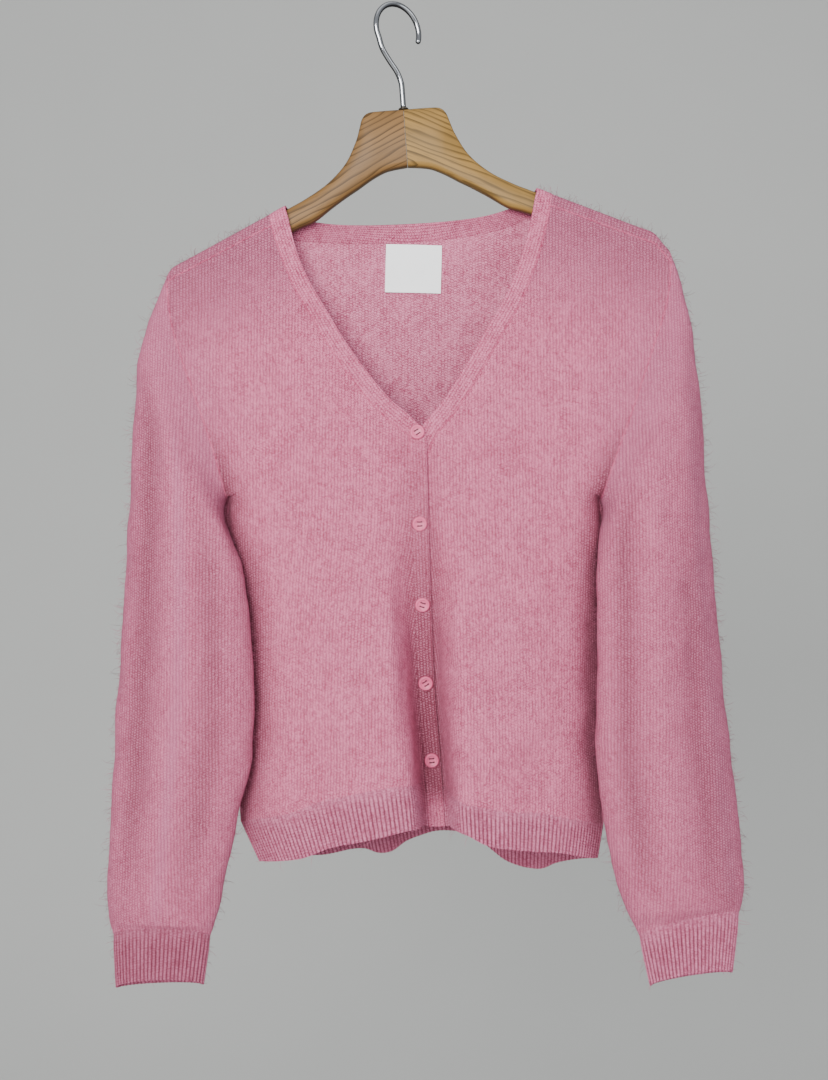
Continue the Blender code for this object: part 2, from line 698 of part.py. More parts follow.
def cloth_wall(net, normals, paint, clearance):
    """Turn a net into a closed wall, its edges clear of the pieces beside it."""
    moved, border = edge_shifts(net, clearance)
    outer = [point + moved.get(i, np.zeros(3)) for i, point in enumerate(net.points)]
    inner = [place - normals[near(net.points[i])] * WALL for i, place in enumerate(outer)]
    count = len(outer)
    faces = list(net.faces)
    faces += [tuple(i + count for i in reversed(face)) for face in net.faces]
    faces += [(a, b, b + count, a + count) for a, b in border]
    return add_object(net.name, outer + inner, faces, paint)


def front_net(side):
    net = Net("front_" + side)
    rows = [[front_point(side, share, row) for share in FRONT_STEPS] for row in range(ROWS + 1)]
    if side == "right":
        net.grid(rows)
    else:
        net.grid([row[::-1] for row in rows])
    return net


def back_net():
    net = Net("back")
    top_line = back_columns()
    count = len(top_line)
    rows = [[back_point(column, row, top_line) for column in range(count)] for row in range(ROWS + 1)]
    rows[0] = top_line
    net.grid([row[::-1] for row in rows])
    last = 2 * (len(ROLL_DROPS) - 1)
    for side in ("right", "left"):
        wing = [[wing_point(side, step, share) for share in FRONT_STEPS] for step in range(last, -1, -1)]
        net.grid(wing if side == "right" else [row[::-1] for row in wing])
    return net


def sleeve_net(side):
    net = Net("sleeve_" + side)
    rings = [sleeve_ring(side, ring) for ring in range(RINGS + 1)]
    if side == "left":
        rings = [[ring[0]] + ring[:0:-1] for ring in rings]
    net.grid(rings, closed=True)
    return net


def ribbed_wall(name, top, bottom, top_normals, bottom_normals, paint, closed=False):
    """A ribbed edge: ribs stand out of the outer points, over a plain inner face."""
    count = len(top)
    spans = count if closed else count - 1
    troughs = []
    for i in range(spans):
        j = (i + 1) % count
        length = np.linalg.norm(top[j] - top[i]) / 2.0 + np.linalg.norm(bottom[j] - bottom[i]) / 2.0
        ribs = max(1, int(round(length / RIB_PITCH)))
        troughs += [(i, j, k / ribs, 0.5 / ribs) for k in range(ribs)]
    if not closed:
        troughs.append((count - 2, count - 1, 1.0, 0.0))
    points = []
    for i, j, share, half_rib in troughs:
        for line, normals in ((top, top_normals), (bottom, bottom_normals)):
            for at, rise in ((share, 0.0), (share, -WALL), (share + half_rib, RIB_HEIGHT)):
                normal = normals[i] + (normals[j] - normals[i]) * at
                points.append(line[i] + (line[j] - line[i]) * at + normal * rise)
    total = len(troughs)
    faces = []
    for k in range(total if closed else total - 1):
        here = 6 * k
        after = 6 * ((k + 1) % total)
        faces.append((here, here + 3, here + 5, here + 2))
        faces.append((here + 2, here + 5, after + 3, after))
        faces.append((here + 1, after + 1, after + 4, here + 4))
        for low in (0, 3):
            faces.append((here + low, here + low + 2, here + low + 1))
            faces.append((here + low + 2, after + low, after + low + 1))
            faces.append((here + low + 2, after + low + 1, here + low + 1))
    if not closed:
        last = 6 * (total - 1)
        faces.append((0, 1, 4, 3))
        faces.append((last, last + 3, last + 4, last + 1))
        used = sorted({i for face in faces for i in face})
        place = {old: new for new, old in enumerate(used)}
        points = [points[i] for i in used]
        faces = [tuple(place[i] for i in face) for face in faces]
    return add_object(name, points, faces, paint)


def inset_strip(top, bottom, closed=False):
    """Clear a strip's long edges, and its ends where it has them, of the pieces beside it."""
    upper = []
    lower = []
    for a, b in zip(top, bottom):
        along = (b - a) / np.linalg.norm(b - a)
        upper.append(a + along * RIB_CLEARANCE)
        lower.append(b - along * RIB_CLEARANCE)
    if not closed:
        for line in (upper, lower):
            for end, beside in ((0, 1), (-1, -2)):
                along = line[beside] - line[end]
                line[end] = line[end] + along / np.linalg.norm(along) * RIB_CLEARANCE
    return upper, lower


def band_rows(side):
    """Seam, middle and neck edge of a front band, from the shoulder ridge down to the hem."""
    rows = []
    neck_x = NECK_EDGE_X[side]
    for step in range(len(ROLL_DROPS) - 1, 0, -1):
        seam = wing_point(side, step, 1.0)
        below = ROLL_DROPS[len(ROLL_DROPS) - 1 - step]
        edge = np.array([neck_x, -roll_y(below), -(ridge_drop(side, neck_x) + below)])
        rows.append((seam, edge))
    for row in range(ROWS + 2):
        edge, _ = band_seam(side, row)
        y = front_body_y(side, edge[0], -edge[1], row) + underlap(side, -edge[1], 0.0)
        rows.append((front_point(side, 1.0, row), np.array([edge[0], y, edge[1]])))
    return [(seam, (seam + edge) / 2.0, edge) for seam, edge in rows]


def neck_band_rows():
    """Seam, middle and upper edge of the back neck band, from the right ridge to the left one."""
    top_line = back_columns()
    wing = len(FRONT_STEPS) - 1
    neck = top_line[wing + 1:wing + NECK_COLUMNS]
    middle = len(ROLL_DROPS) - 1
    ends = {}
    for side in ("right", "left"):
        inward = 1.0 if side == "right" else -1.0
        pairs = []
        for place, shift in enumerate(NECK_CURVE_IN):
            seam = wing_point(side, middle + place, 1.0)
            x = NECK_EDGE_X[side] + inward * shift
            drop = ridge_drop(side, NECK_EDGE_X[side]) + ROLL_DROPS[place] * NECK_EDGE_FALL
            pairs.append((seam, np.array([x, roll_y(ROLL_DROPS[place]), -drop])))
        ends[side] = pairs
    rows = list(ends["right"])
    low = ends["right"][-1][1][0]
    high = ends["left"][-1][1][0]
    for place, seam in enumerate(neck):
        x = low + (high - low) * (place + 1) / NECK_COLUMNS
        rows.append((seam, np.array([x, seam[1], -float(BACK_NECK.read("top", x))])))
    rows += ends["left"][::-1]
    return [(seam, (seam + edge) / 2.0, edge) for seam, edge in rows]


def band_net(name, side):
    net = Net(name)
    rows = band_rows(side)
    net.grid(rows if side == "right" else [row[::-1] for row in rows])
    return net


def neck_band_net():
    net = Net("back_neck_band")
    rows = neck_band_rows()
    upper = [row[2] for row in rows][::-1]
    middle = [row[1] for row in rows][::-1]
    lower = [row[0] for row in rows][::-1]
    net.grid([upper, middle, lower])
    return net


def hem_lines():
    """The ribs' upper and lower lines round the body, one pair for each hem piece."""
    top_line = back_columns()
    count = len(top_line)
    lines = {}
    for side in ("right", "left"):
        shares = FRONT_STEPS if side == "right" else FRONT_STEPS[::-1]
        lines["hem_front_" + side] = [[front_point(side, share, row) for share in shares]
                                      for row in (ROWS, ROWS + 1)]
    lines["hem_back"] = [[back_point(column, row, top_line) for column in range(count - 1, -1, -1)]
                         for row in (ROWS, ROWS + 1)]
    return lines


def cuff_lines():
    lines = {}
    for side in ("right", "left"):
        rings = [sleeve_ring(side, ring) for ring in (RINGS, RINGS + 1)]
        if side == "left":
            rings = [[ring[0]] + ring[:0:-1] for ring in rings]
        lines["cuff_" + side] = rings
    return lines


def line_net(name, lines, closed):
    net = Net(name)
    net.grid(lines, closed=closed)
    return net


def add_knit(paint):
    """Every knitted piece, with the normals of the whole garment at its seams."""
    nets = [front_net("right"), front_net("left"), back_net(), sleeve_net("right"), sleeve_net("left"),
            neck_band_net(), band_net("buttonhole_band", "right")]
    hems = hem_lines()
    cuffs = cuff_lines()
    ribs = [line_net(name, lines, False) for name, lines in hems.items()]
    ribs += [line_net(name, lines, True) for name, lines in cuffs.items()]
    button_band = band_net("button_band", "left")
    nets.append(button_band)
    arms = [net for net in nets + ribs if net.name.startswith(("sleeve", "cuff"))]
    body = [net for net in nets + ribs if net not in arms]
    body_normals = group_normals(body, arms)
    arm_normals = group_normals(arms, body)
    for net in nets:
        if net in arms:
            cloth_wall(net, arm_normals, paint, ARM_CLEARANCE)
        else:
            cloth_wall(net, body_normals, paint, BODY_CLEARANCE)
    for lines_of, closed in ((hems, False), (cuffs, True)):
        normals = arm_normals if closed else body_normals
        for name, (top, bottom) in lines_of.items():
            top_normals = [normals[near(place)] for place in top]
            bottom_normals = [normals[near(place)] for place in bottom]
            upper, lower = inset_strip(top, bottom, closed)
            ribbed_wall(name, upper, lower, top_normals, bottom_normals, paint, closed)


def surface(name):
    """The faces of a piece that is made already, in metres, to rest others on."""
    return BVHTree.FromObject(bpy.data.objects[name], bpy.context.evaluated_depsgraph_get())


def on_surface(tree, x, drop, start):
    """First point and normal met from the front, in metres."""
    return tree.ray_cast(Vector((x * MM, start * MM, -drop * MM)), Vector((0.0, 1.0, 0.0)))


def add_label(paint):
    """A woven label on the inside of the back, bent to it."""
    tree = surface("back")
    points = []
    across = 6
    down = 4
    for lift in (REST_GAP, REST_GAP + LABEL_THICKNESS):
        for row in range(down + 1):
            for column in range(across + 1):
                x = LABEL_CENTRE + LABEL_WIDTH * (column / across - 0.5)
                drop = LABEL_DROP + LABEL_HEIGHT * (row / down - 0.5)
                place, _, _, _ = on_surface(tree, x, drop, INSIDE_START)
                points.append((x, place.y / MM - lift, -drop))
    width = across + 1
    layer = width * (down + 1)
    faces = []
    for row in range(down):
        for column in range(across):
            a = row * width + column
            quad = (a, a + 1, a + width + 1, a + width)
            faces.append(quad)
            faces.append(tuple(i + layer for i in reversed(quad)))
    border = [(i, i + 1) for i in range(across)]
    border += [(down * width + i + 1, down * width + i) for i in range(across)]
    border += [((row + 1) * width, row * width) for row in range(down)]
    border += [(row * width + across, (row + 1) * width + across) for row in range(down)]
    faces += [(a, b, b + layer, a + layer) for a, b in border]
    add_object("neck_label", points, faces, paint)


def turned(profile, segments):
    """Points and faces of a solid turned about the Z axis. The profile starts and ends on it."""
    points = [(0.0, 0.0, profile[0][1]), (0.0, 0.0, profile[-1][1])]
    rings = profile[1:-1]
    for radius, height in rings:
        for i in range(segments):
            angle = 2.0 * math.pi * i / segments
            points.append((radius * math.cos(angle), radius * math.sin(angle), height))
    faces = []
    for i in range(segments):
        j = (i + 1) % segments
        faces.append((0, 2 + j, 2 + i))
        last = 2 + (len(rings) - 1) * segments
        faces.append((1, last + i, last + j))
        for ring in range(len(rings) - 1):
            base = 2 + ring * segments
            faces.append((base + i, base + j, base + segments + j, base + segments + i))
    return points, faces


def add_buttons(paint):
    """Five turned buttons, each with a raised rim and four thread holes, sitting on the band."""
    tree = surface("buttonhole_band")
    profile = ((0.0, 0.0), (5.2, 0.0), (BUTTON_RADIUS, 1.0), (6.0, 2.3), (5.2, BUTTON_THICKNESS), (4.4, 1.8),
               (0.0, 1.8))
    for number, drop in enumerate(BUTTON_DROPS, start=1):
        x = edge_x("right", max(drop, 380.0)) - BAND_WIDTH / 2.0 - 0.4
        place, normal, _, _ = on_surface(tree, x, drop, OUTSIDE_START)
        if normal.y > 0.0:
            normal = -normal
        turn = normal.to_track_quat("Z", "Y")
        points, faces = turned(profile, 16)
        button = add_object("button_%d" % number, points, faces, paint)
        cutter = thread_holes(number, paint)
        for thing in (button, cutter):
            thing.rotation_mode = "QUATERNION"
            thing.rotation_quaternion = turn
            thing.location = place + normal * BUTTON_SEAT * MM
        cut = button.modifiers.new("thread holes", "BOOLEAN")
        cut.operation = "DIFFERENCE"
        cut.solver = "EXACT"
        cut.object = cutter


def thread_holes(number, paint):
    points = []
    faces = []
    for across in (-1.0, 1.0):
        for up in (-1.0, 1.0):
            profile = ((0.0, PIN_FOOT), (THREAD_HOLE_RADIUS, PIN_FOOT), (THREAD_HOLE_RADIUS, PIN_TOP),
                       (0.0, PIN_TOP))
            pin, sides = turned(profile, 6)
            base = len(points)
            points += [(x + across * THREAD_HOLE_OFFSET, y + up * THREAD_HOLE_OFFSET, z) for x, y, z in pin]
            faces += [tuple(i + base for i in face) for face in sides]
    cutter = add_object("thread_holes_%d" % number, points, faces, paint, smooth=False)
    cutter.hide_render = True
    cutter.display_type = "WIRE"
    return cutter


# One wooden half: top and lower edge, x out from the middle and drop below the hook seat.
WOOD = Table("station top_x top_drop low_x low_drop half",
             (0, 0.17, 90, 0.17, 140, 6.5), (1, 20, 90, 12, 141.3, 6.5), (2, 31, 90.8, 20, 143, 6.5),
             (3, 36.5, 95.5, 28, 146.5, 6.5), (4, 39.5, 104, 36, 151, 6.5), (5, 43.5, 115, 44, 156, 6.5),
             (6, 53.5, 133, 54, 161.7, 6.5), (7, 70, 149, 68, 170.5, 6.5), (8, 90, 161, 84.5, 181.5, 6.5),
             (9, 107, 169, 101, 187.5, 6.5), (10, 150, 189, 145, 207.5, 6.5), (11, 190, 207.9, 186, 226, 6.5),
             (12, 201, 213.1, 198.5, 230, 6.2), (13, 206.5, 218.5, 205, 229, 4.2))


def tilt(x, y, drop):
    """From the hanger's own frame to the part's: the hanger hangs a little to one side."""
    z = -drop
    return np.array([x * math.cos(HANGER_TILT) - z * math.sin(HANGER_TILT), y,
                     x * math.sin(HANGER_TILT) + z * math.cos(HANGER_TILT)])


def wood_section(row, mirror):
    """A rounded section across one arm of the hanger."""
    _, top_x, top_drop, low_x, low_drop, half = row
    top = np.array([top_x, top_drop])
    low = np.array([low_x, low_drop])
    length = float(np.linalg.norm(low - top))
    edge = min(WOOD_EDGE, half * 0.7, length * 0.35)
    corners = ((1, edge), (1, length - edge), (-1, length - edge), (-1, edge))
    section = []
    for corner, (sign, along) in enumerate(corners):
        for part in range(3):
            angle = math.pi / 2.0 * (corner - 1 + part / 2.0)
            y = sign * (half - edge) + edge * math.cos(angle)
            down = along + edge * math.sin(angle)
            place = top + (low - top) * down / length
            section.append(tilt(mirror * place[0], y, place[1]))
    return section


def add_wood(name, mirror, paint):
    sections = [wood_section(row, mirror) for row in WOOD.rows]
    count = len(sections[0])
    points = [place for section in sections for place in section]
    faces = [tuple(range(count)), tuple(reversed(range(len(points) - count, len(points))))]
    for station in range(len(sections) - 1):
        base = station * count
        for i in range(count):
            j = (i + 1) % count
            faces.append((base + i, base + j, base + count + j, base + count + i))
    return add_object(name, points, faces, paint)


def hook_route():
    """The wire's middle line in the hanger's frame: stem, bend and round loop, turned about the stem."""
    stem_foot = BLOCK_TOP - COLLAR_HEIGHT - 2.0 * REST_GAP
    line = [(0.0, stem_foot), (0.0, 76.0), (-0.4, 66.0), (-4.2, 57.0), (-11.0, 48.5), (-17.6, 38.8)]
    centre = LOOP_RADIUS - WIRE_RADIUS
    for degrees in range(204, -31, -12):
        angle = math.radians(degrees)
        line.append((LOOP_RADIUS * math.cos(angle), centre - LOOP_RADIUS * math.sin(angle)))
    return [tilt(u * math.cos(LOOP_TURN), u * math.sin(LOOP_TURN), drop) for u, drop in line]


def add_hook(paint):
    """The wire as rings round its smoothed route, with a flat foot and a round tip."""
    route = hook_route()
    steps = 2 * (len(route) - 1)
    line = [Vector([curve_through([p[axis] for p in route], i / 2.0) for axis in range(3)])
            for i in range(steps + 1)]
    points = []
    side = Vector((0.0, 1.0, 0.0))
    for i, place in enumerate(line):
        along = (line[min(i + 1, steps)] - line[max(i - 1, 0)]).normalized()
        side = (side - along * side.dot(along)).normalized()
        other = along.cross(side)
        radius = WIRE_RADIUS * (0.6 if i == steps else 1.0)
        for k in range(WIRE_SIDES):
            angle = 2.0 * math.pi * k / WIRE_SIDES
            points.append(place + (side * math.cos(angle) + other * math.sin(angle)) * radius)
    faces = [tuple(range(WIRE_SIDES)), tuple(range(len(points) - WIRE_SIDES, len(points)))]
    for i in range(steps):
        base = i * WIRE_SIDES
        for k in range(WIRE_SIDES):
            n = (k + 1) % WIRE_SIDES
            faces.append((base + k, base + n, base + WIRE_SIDES + n, base + WIRE_SIDES + k))
    add_object("hook", points, faces, paint)


def curve_through(values, at):
    """A round curve through evenly keyed values."""
    i = min(int(at), len(values) - 2)
    u = at - i
    before = values[max(i - 1, 0)]
    after = values[min(i + 2, len(values) - 1)]
    start = (values[i + 1] - before) / 2.0
    end = (after - values[i]) / 2.0
    return ((1.0 + 2.0 * u) * (1.0 - u) ** 2 * values[i] + u * (1.0 - u) ** 2 * start
            + u * u * (3.0 - 2.0 * u) * values[i + 1] + u * u * (u - 1.0) * end)


def add_collar(paint):
    top = COLLAR_HEIGHT
    profile = ((0.0, 0.0), (COLLAR_RADIUS, 0.0), (COLLAR_RADIUS, top - COLLAR_BEVEL),
               (COLLAR_RADIUS - COLLAR_BEVEL, top), (0.0, top))
    points, faces = turned(profile, 20)
    points = [tilt(x, y, BLOCK_TOP - REST_GAP - z) for x, y, z in points]
    add_object("hook_collar", points, faces, paint)


def main():
    for thing in list(bpy.data.objects):
        bpy.data.objects.remove(thing)
    knit = material("pink knit", (0.60, 0.31, 0.39), 0.95)
    shell = material("pink button", (0.68, 0.38, 0.45), 0.45)
    satin = material("white woven label", (0.80, 0.82, 0.83), 0.55)
    oak = material("golden oak", (0.42, 0.27, 0.13), 0.5)
    brown_oak = material("brown oak", (0.30, 0.18, 0.09), 0.5)
    chrome = material("bright wire", (0.78, 0.78, 0.80), 0.15, 1.0)
    collar = material("dark collar", (0.30, 0.26, 0.22), 0.4, 1.0)
    add_knit(knit)
    add_label(satin)
    add_buttons(shell)
    add_wood("hanger_right", -1.0, brown_oak)
    add_wood("hanger_left", 1.0, oak)
    add_collar(collar)
    add_hook(chrome)


main()
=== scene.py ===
"""Looks of a fluffy cardigan hanging on a wooden clothes hanger.

The knit, the seams, the hairs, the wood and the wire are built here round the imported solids. The origin is
the inside top of the hook, +X is to the viewer's right, -Y the front and +Z up. Right and left in names are
the wearer's. Sizes are in millimetres until a mesh is made.
"""

import math

import bpy
import numpy as np
from bpy.props import FloatProperty, FloatVectorProperty, PointerProperty
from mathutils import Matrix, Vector
from mathutils.bvhtree import BVHTree


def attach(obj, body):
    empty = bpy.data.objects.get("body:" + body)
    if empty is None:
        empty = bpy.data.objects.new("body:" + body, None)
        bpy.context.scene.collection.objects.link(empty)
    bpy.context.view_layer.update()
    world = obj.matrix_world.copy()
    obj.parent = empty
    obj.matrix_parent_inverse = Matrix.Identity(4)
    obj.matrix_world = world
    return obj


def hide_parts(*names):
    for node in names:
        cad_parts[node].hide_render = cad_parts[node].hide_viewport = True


bl_info = {
    "name": "Fluffy cardigan on a hanger",
    "version": (1, 0, 0),
    "blender": (4, 5, 0),
    "location": "3D View > Sidebar > Cardigan",
    "description": "Builds a brushed, buttoned cardigan on a wooden clothes hanger round its packed solids",
    "category": "Object",
}

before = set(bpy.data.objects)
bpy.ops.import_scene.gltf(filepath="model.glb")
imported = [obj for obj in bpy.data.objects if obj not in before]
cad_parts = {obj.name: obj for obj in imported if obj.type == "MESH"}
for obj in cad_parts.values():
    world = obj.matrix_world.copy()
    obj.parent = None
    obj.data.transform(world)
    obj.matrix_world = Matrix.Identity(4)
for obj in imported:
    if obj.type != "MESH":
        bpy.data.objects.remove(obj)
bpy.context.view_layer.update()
MM = 0.001

# Knit
COURSE = 2.2
RIB_PITCH = 3.7
CUFF_PITCH = 3.4
PITCHES = {"plain": 2.7, "purl": 2.7, "rib": RIB_PITCH, "band": 2.6}
WALE_SWAY = 0.7
RIB_SWAY = 0.05
COURSE_SWAY = 0.8
RIB_PARTS = 14
RIB_STEPS = 6
RIB_HEIGHT = 0.9
CLOTH_WALL = 1.7
SPAN_PARTS = 7
SLEEVE_PARTS = 5
SLEEVE_ROW_PARTS = 10
BACK_PARTS = 5
WING_PARTS = 3
BAND_PARTS = 6
WALL = 2.5
BAND_WIDTH = 14.0
UNDERLAP = WALL + 0.5

# Rows and columns of the panels' nets
ARM_ROWS = 9
SIDE_ROWS = 11
ROWS = ARM_ROWS + SIDE_ROWS
FRONT_STEPS = (0.0, 0.05, 0.14, 0.28, 0.44, 0.60, 0.75, 0.86, 0.93, 0.97, 1.0)
NECK_COLUMNS = 9
NECK_BUNCHING = 0.05
NECK_FULLNESS = 3.0
NECK_FULLNESS_REACH = 50.0
COLUMN_EASE = 0.12
RING_POINTS = 24

# Shoulder: how far the cloth stands round the wood
ROLL_DEPTH = 10.8
ROLL_DROPS = (0.0, 1.0, 4.0, 11.2)

# Hanger
HANGER_TILT = math.radians(4.2)
WOOD_EDGE = 4.5
WIRE_RADIUS = 2.4
WIRE_SIDES = 20
LOOP_RADIUS = 22.4
LOOP_TURN = math.radians(35.0)
COLLAR_RADIUS = 4.4
COLLAR_HEIGHT = 1.3
COLLAR_BEVEL = 0.6
BLOCK_TOP = 90.0

# Buttons
BUTTON_RADIUS = 6.25
BUTTON_THICKNESS = 2.8
THREAD_HOLE_RADIUS = 0.8
THREAD_HOLE_OFFSET = 1.7
DISH_HEIGHT = 1.7
THREAD_RADII = (0.42, 0.3)
THREAD_STEPS = 10
THREAD_SIDES = 8
BUTTON_SPINS = (0.55, 0.05, -0.3, 0.6, 0.1)

# Label
LABEL_WIDTH = 49.0
LABEL_HEIGHT = 42.0
LABEL_CENTRE = 15.2
LABEL_DROP = 225.5
LABEL_THICKNESS = 0.8
LABEL_NET = (36, 30)
LABEL_LEAN = math.radians(1.5)
LABEL_GAP = 0.9
SATIN_PITCH = (0.34, 0.42)

# Pieces that rest on others, and where rays that look for them start
REST_GAP = 0.35
INSIDE_START = -6.0

# Seams, bands and hairs
SEAM_STITCH = 2.6
SEAM_RADIUS = 0.8
SEAM_SIDES = 6
SEAM_POINTS = 4.0
SEAM_THIN = 0.62
SEAM_SWAY = 0.25
BAND_CROWN = 0.35
BAND_WALL = 2.2
BAND_HAIR_SHARE = 0.5
RIB_HAIR_SHARE = 0.6
SHORT_HAIR_RADIUS = 0.13
LONG_HAIR_RADIUS = 0.13
LUMP_HEIGHT = 0.5
LUMP_WAVES = 26
LUMP_SPAN = (11.0, 42.0)
LUMP_SEED = 3
GAP_SHADE_SHARES = {"plain": 1.0, "purl": 0.55, "rib": 0.9, "band": 0.9}
EDGE_STEPS = 8.0
EDGE_ANGLE = math.radians(62.0)
WOOD_EDGE_ANGLE = math.radians(55.0)
BUTTON_EDGE_ANGLE = math.radians(50.0)
COLLAR_EDGE_ANGLE = math.radians(40.0)
TURN_SIDES = 40
# Colour factors of each kind of knit. The purl inside is lighter and greyer as painted light that shines
# through the thin cloth from behind
SHADES = {
    "plain": (1.0, 1.0, 1.0),
    "purl": (1.08, 1.36, 1.22),
    "rib": (0.86, 1.08, 1.0),
    "band": (1.0, 1.0, 1.0),
    "hair": (1.04, 1.04, 1.04),
}

# Painted shade and painted sheen: where the cloth lies in a hollow, a crease or a fold's trough, or on a side
# that the light misses, its colour is deeper as painted shade, and on a brushed ridge it is hazier as painted
# sheen
PLACKET_SHADE_DEPTH = 38.0
PLACKET_SHADE_END = (676.0, 700.0)
PLACKET_SHARE = 0.6
CREASE_WIDTH = 15.0
CREASE_DROPS = (330.0, 430.0)
HEM_CORNER_SHADE = 0.5
HEM_CORNER_WIDTH = 20.0
GUSSET_DROPS = (424.0, 520.0)
GUSSET_TUCK = 4.0
GUSSET_ROWS = 20
FOLD_TROUGH_SHADE = 0.09
FOLD_FULL = 4.0
SLEEVE_TROUGH_SHADE = 0.2
SLEEVE_SHADE = 0.2
SLEEVE_PAINTED_SHEEN_BASE = 0.32
ARMHOLE_PAINTED_SHEEN = 0.6
ARMHOLE_PAINTED_SHEEN_WIDTH = 32.0
SEAM_SHADE = 0.55
SEAM_ROWS = 4
NECK_BAND_SHADE = 0.25
BACK_HEM_SHADE = 0.4
CUFF_SHADE = {"right": 0.5, "left": 0.0}
SHOULDER_PAINTED_SHEEN = 0.9
SHOULDER_SHADE = 0.55
SHOULDER_PAINTED_LIGHT_DROP = 135.0
SLEEVE_TOP_RINGS = (0.5, 5.0)
SLEEVE_PAINTED_SHEEN = {
    # place across from the outer edge (0) to the inner edge (1), first ring, last ring, half width, strength
    "right": ((0.47, 1.2, 12.5, 0.07, 1.0),),
    "left": ((0.13, 1.0, 12.0, 0.10, 1.0), (0.58, 2.0, 11.0, 0.06, 0.35)),
}
# The painted shade on the sleeves beside their folds, in the same columns
SLEEVE_PAINTED_SHADE = {
    "right": ((0.17, 2.0, 13.0, 0.13, 0.18), (0.66, 3.0, 12.0, 0.07, 0.12)),
    "left": ((0.13, 1.0, 12.5, 0.10, 0.5),),
}

# Flat sizes of the knitted pieces in metres, width and length
FLAT_FRONT = (0.19, 0.55)
FLAT_BACK = (0.42, 0.60)
FLAT_SLEEVE = (0.30, 0.60)
FLAT_CUFF = (0.165, 0.045)
FLAT_FRONT_HEM = (0.18, 0.038)
FLAT_BACK_HEM = (0.34, 0.038)
FLAT_FRONT_BAND = (0.0145, 0.60)
FLAT_NECK_BAND = (0.30, 0.0155)

# Wood
GRAIN_SLOPE = math.radians(25.0)
GRAIN_PITCH = 5.2
GRAIN_AND_EDGE_SHADE_DIM = 0.3

# Stage, in metres apart from the camera's place, which is in millimetres
CAMERA_PLACE = (15.7, -1200.0, -463.7)
CAMERA_LENS = 45.97
WALL_Y = 2.3
FLOOR_Z = -1.75
STAGE_BEND = 0.9
STAGE_STEPS = 12
STAGE_TOP = 2.6
STAGE_FRONT = -4.0
STAGE_HALF = 5.0
ROOM_LIGHT = 0.5
WINDOW_WATTS = 132.0
CEILING_WATTS = 10.0
FILL_WATTS = 20.0


def hermite(u, start, end, start_slope, end_slope):
    """The smooth curve from one value to another at a share u of the way, with its slopes at both ends."""
    return ((1.0 + 2.0 * u) * (1.0 - u) ** 2 * start + u * (1.0 - u) ** 2 * start_slope
            + u * u * (3.0 - 2.0 * u) * end + u * u * (u - 1.0) * end_slope)


def smooth_line(keys, values, at):
    """Read a curve through values at rising keys that never swings past them."""
    keys = np.asarray(keys, float)
    values = np.asarray(values, float)
    at = np.clip(at, keys[0], keys[-1])
    step = np.diff(keys)
    rise = np.diff(values) / step
    slope = np.zeros(len(keys))
    slope[0] = rise[0]
    slope[-1] = rise[-1]
    for i in range(1, len(keys) - 1):
        if rise[i - 1] * rise[i] > 0.0:
            slope[i] = 2.0 / (1.0 / rise[i - 1] + 1.0 / rise[i])
    i = np.clip(np.searchsorted(keys, at) - 1, 0, len(keys) - 2)
    u = (at - keys[i]) / step[i]
    return hermite(u, values[i], values[i + 1], step[i] * slope[i], step[i] * slope[i + 1])


class Table:
    """Rows of named columns. The first column is the key, and the others are read smoothly at it."""

    def __init__(self, columns, *rows):
        self.columns = columns.split()
        self.rows = np.array(rows, float)

    def read(self, column, key):
        return smooth_line(self.rows[:, 0], self.rows[:, self.columns.index(column)], key)


# Drops are measured down from the hook seat. Front and back are half depths from the hanger's plane.
DEPTH = Table("drop front back",
              (150, 10.8, 10.8), (190, 11.2, 13.5), (230, 12.5, 15.0), (260, 15.0, 17.0), (350, 25.0, 23.0),
              (450, 35.0, 30.0), (550, 43.0, 36.0), (650, 49.0, 40.0), (715, 51.0, 43.0), (760, 50.0, 43.0))

SIDE_SEAM = Table("drop right left",
                  (429, -146.2, 177.4), (440, -146.3, 179.0), (457, -145.8, 179.3), (473, -142.8, 178.6),
                  (495, -138.6, 178.0), (520, -136.0, 177.6), (550, -134.6, 177.3), (600, -134.2, 177.3),
                  (650, -135.0, 178.5), (700, -136.5, 181.0), (712, -134.0, 180.5), (728, -126.0, 178.0),
                  (744, -118.5, 175.0))

# The front opening: the neck edge of each band, and how deep the opening sinks between the two fronts.
RIGHT_EDGE = Table("drop x",
                   (172, -95.5), (189, -92.3), (207, -87.9), (232, -78.9), (255, -65.7), (284, -49.2),
                   (314, -28.6), (338, -9.8), (355, 8.1), (362, 18.0), (370, 24.4), (382, 26.0), (404, 26.7),
                   (462, 28.4), (520, 30.4), (593, 33.5), (652, 38.3), (690, 41.0), (716, 42.7))
LEFT_EDGE = Table("drop x",
                  (158, 121.8), (188, 116.7), (211, 110.6), (244, 99.0), (271, 85.0), (289, 73.8),
                  (316, 59.2), (333, 48.1), (350, 36.5), (362, 26.5), (374, 18.0), (388, 13.4), (404, 12.6),
                  (462, 14.4), (520, 16.4), (593, 19.5), (652, 24.3), (690, 27.0), (716, 28.7))
OPENING = Table("drop depth wall",
                (372, 0.0, 40.0), (420, 3.0, 34.0), (460, 8.0, 28.0), (540, 24.0, 20.0), (600, 37.0, 15.0),
                (650, 44.0, 13.0), (690, 47.0, 12.0), (745, 47.0, 12.0))
UNDERLAP_FADE = (322.0, 350.0)
UNDERLAP_REACH = 12.0
SHOULDER_REACH = 3.0
ROLL_REACH = 2.0
BAND_OVERLAY = 0.6
BAND_EDGE_EASE = 1.5

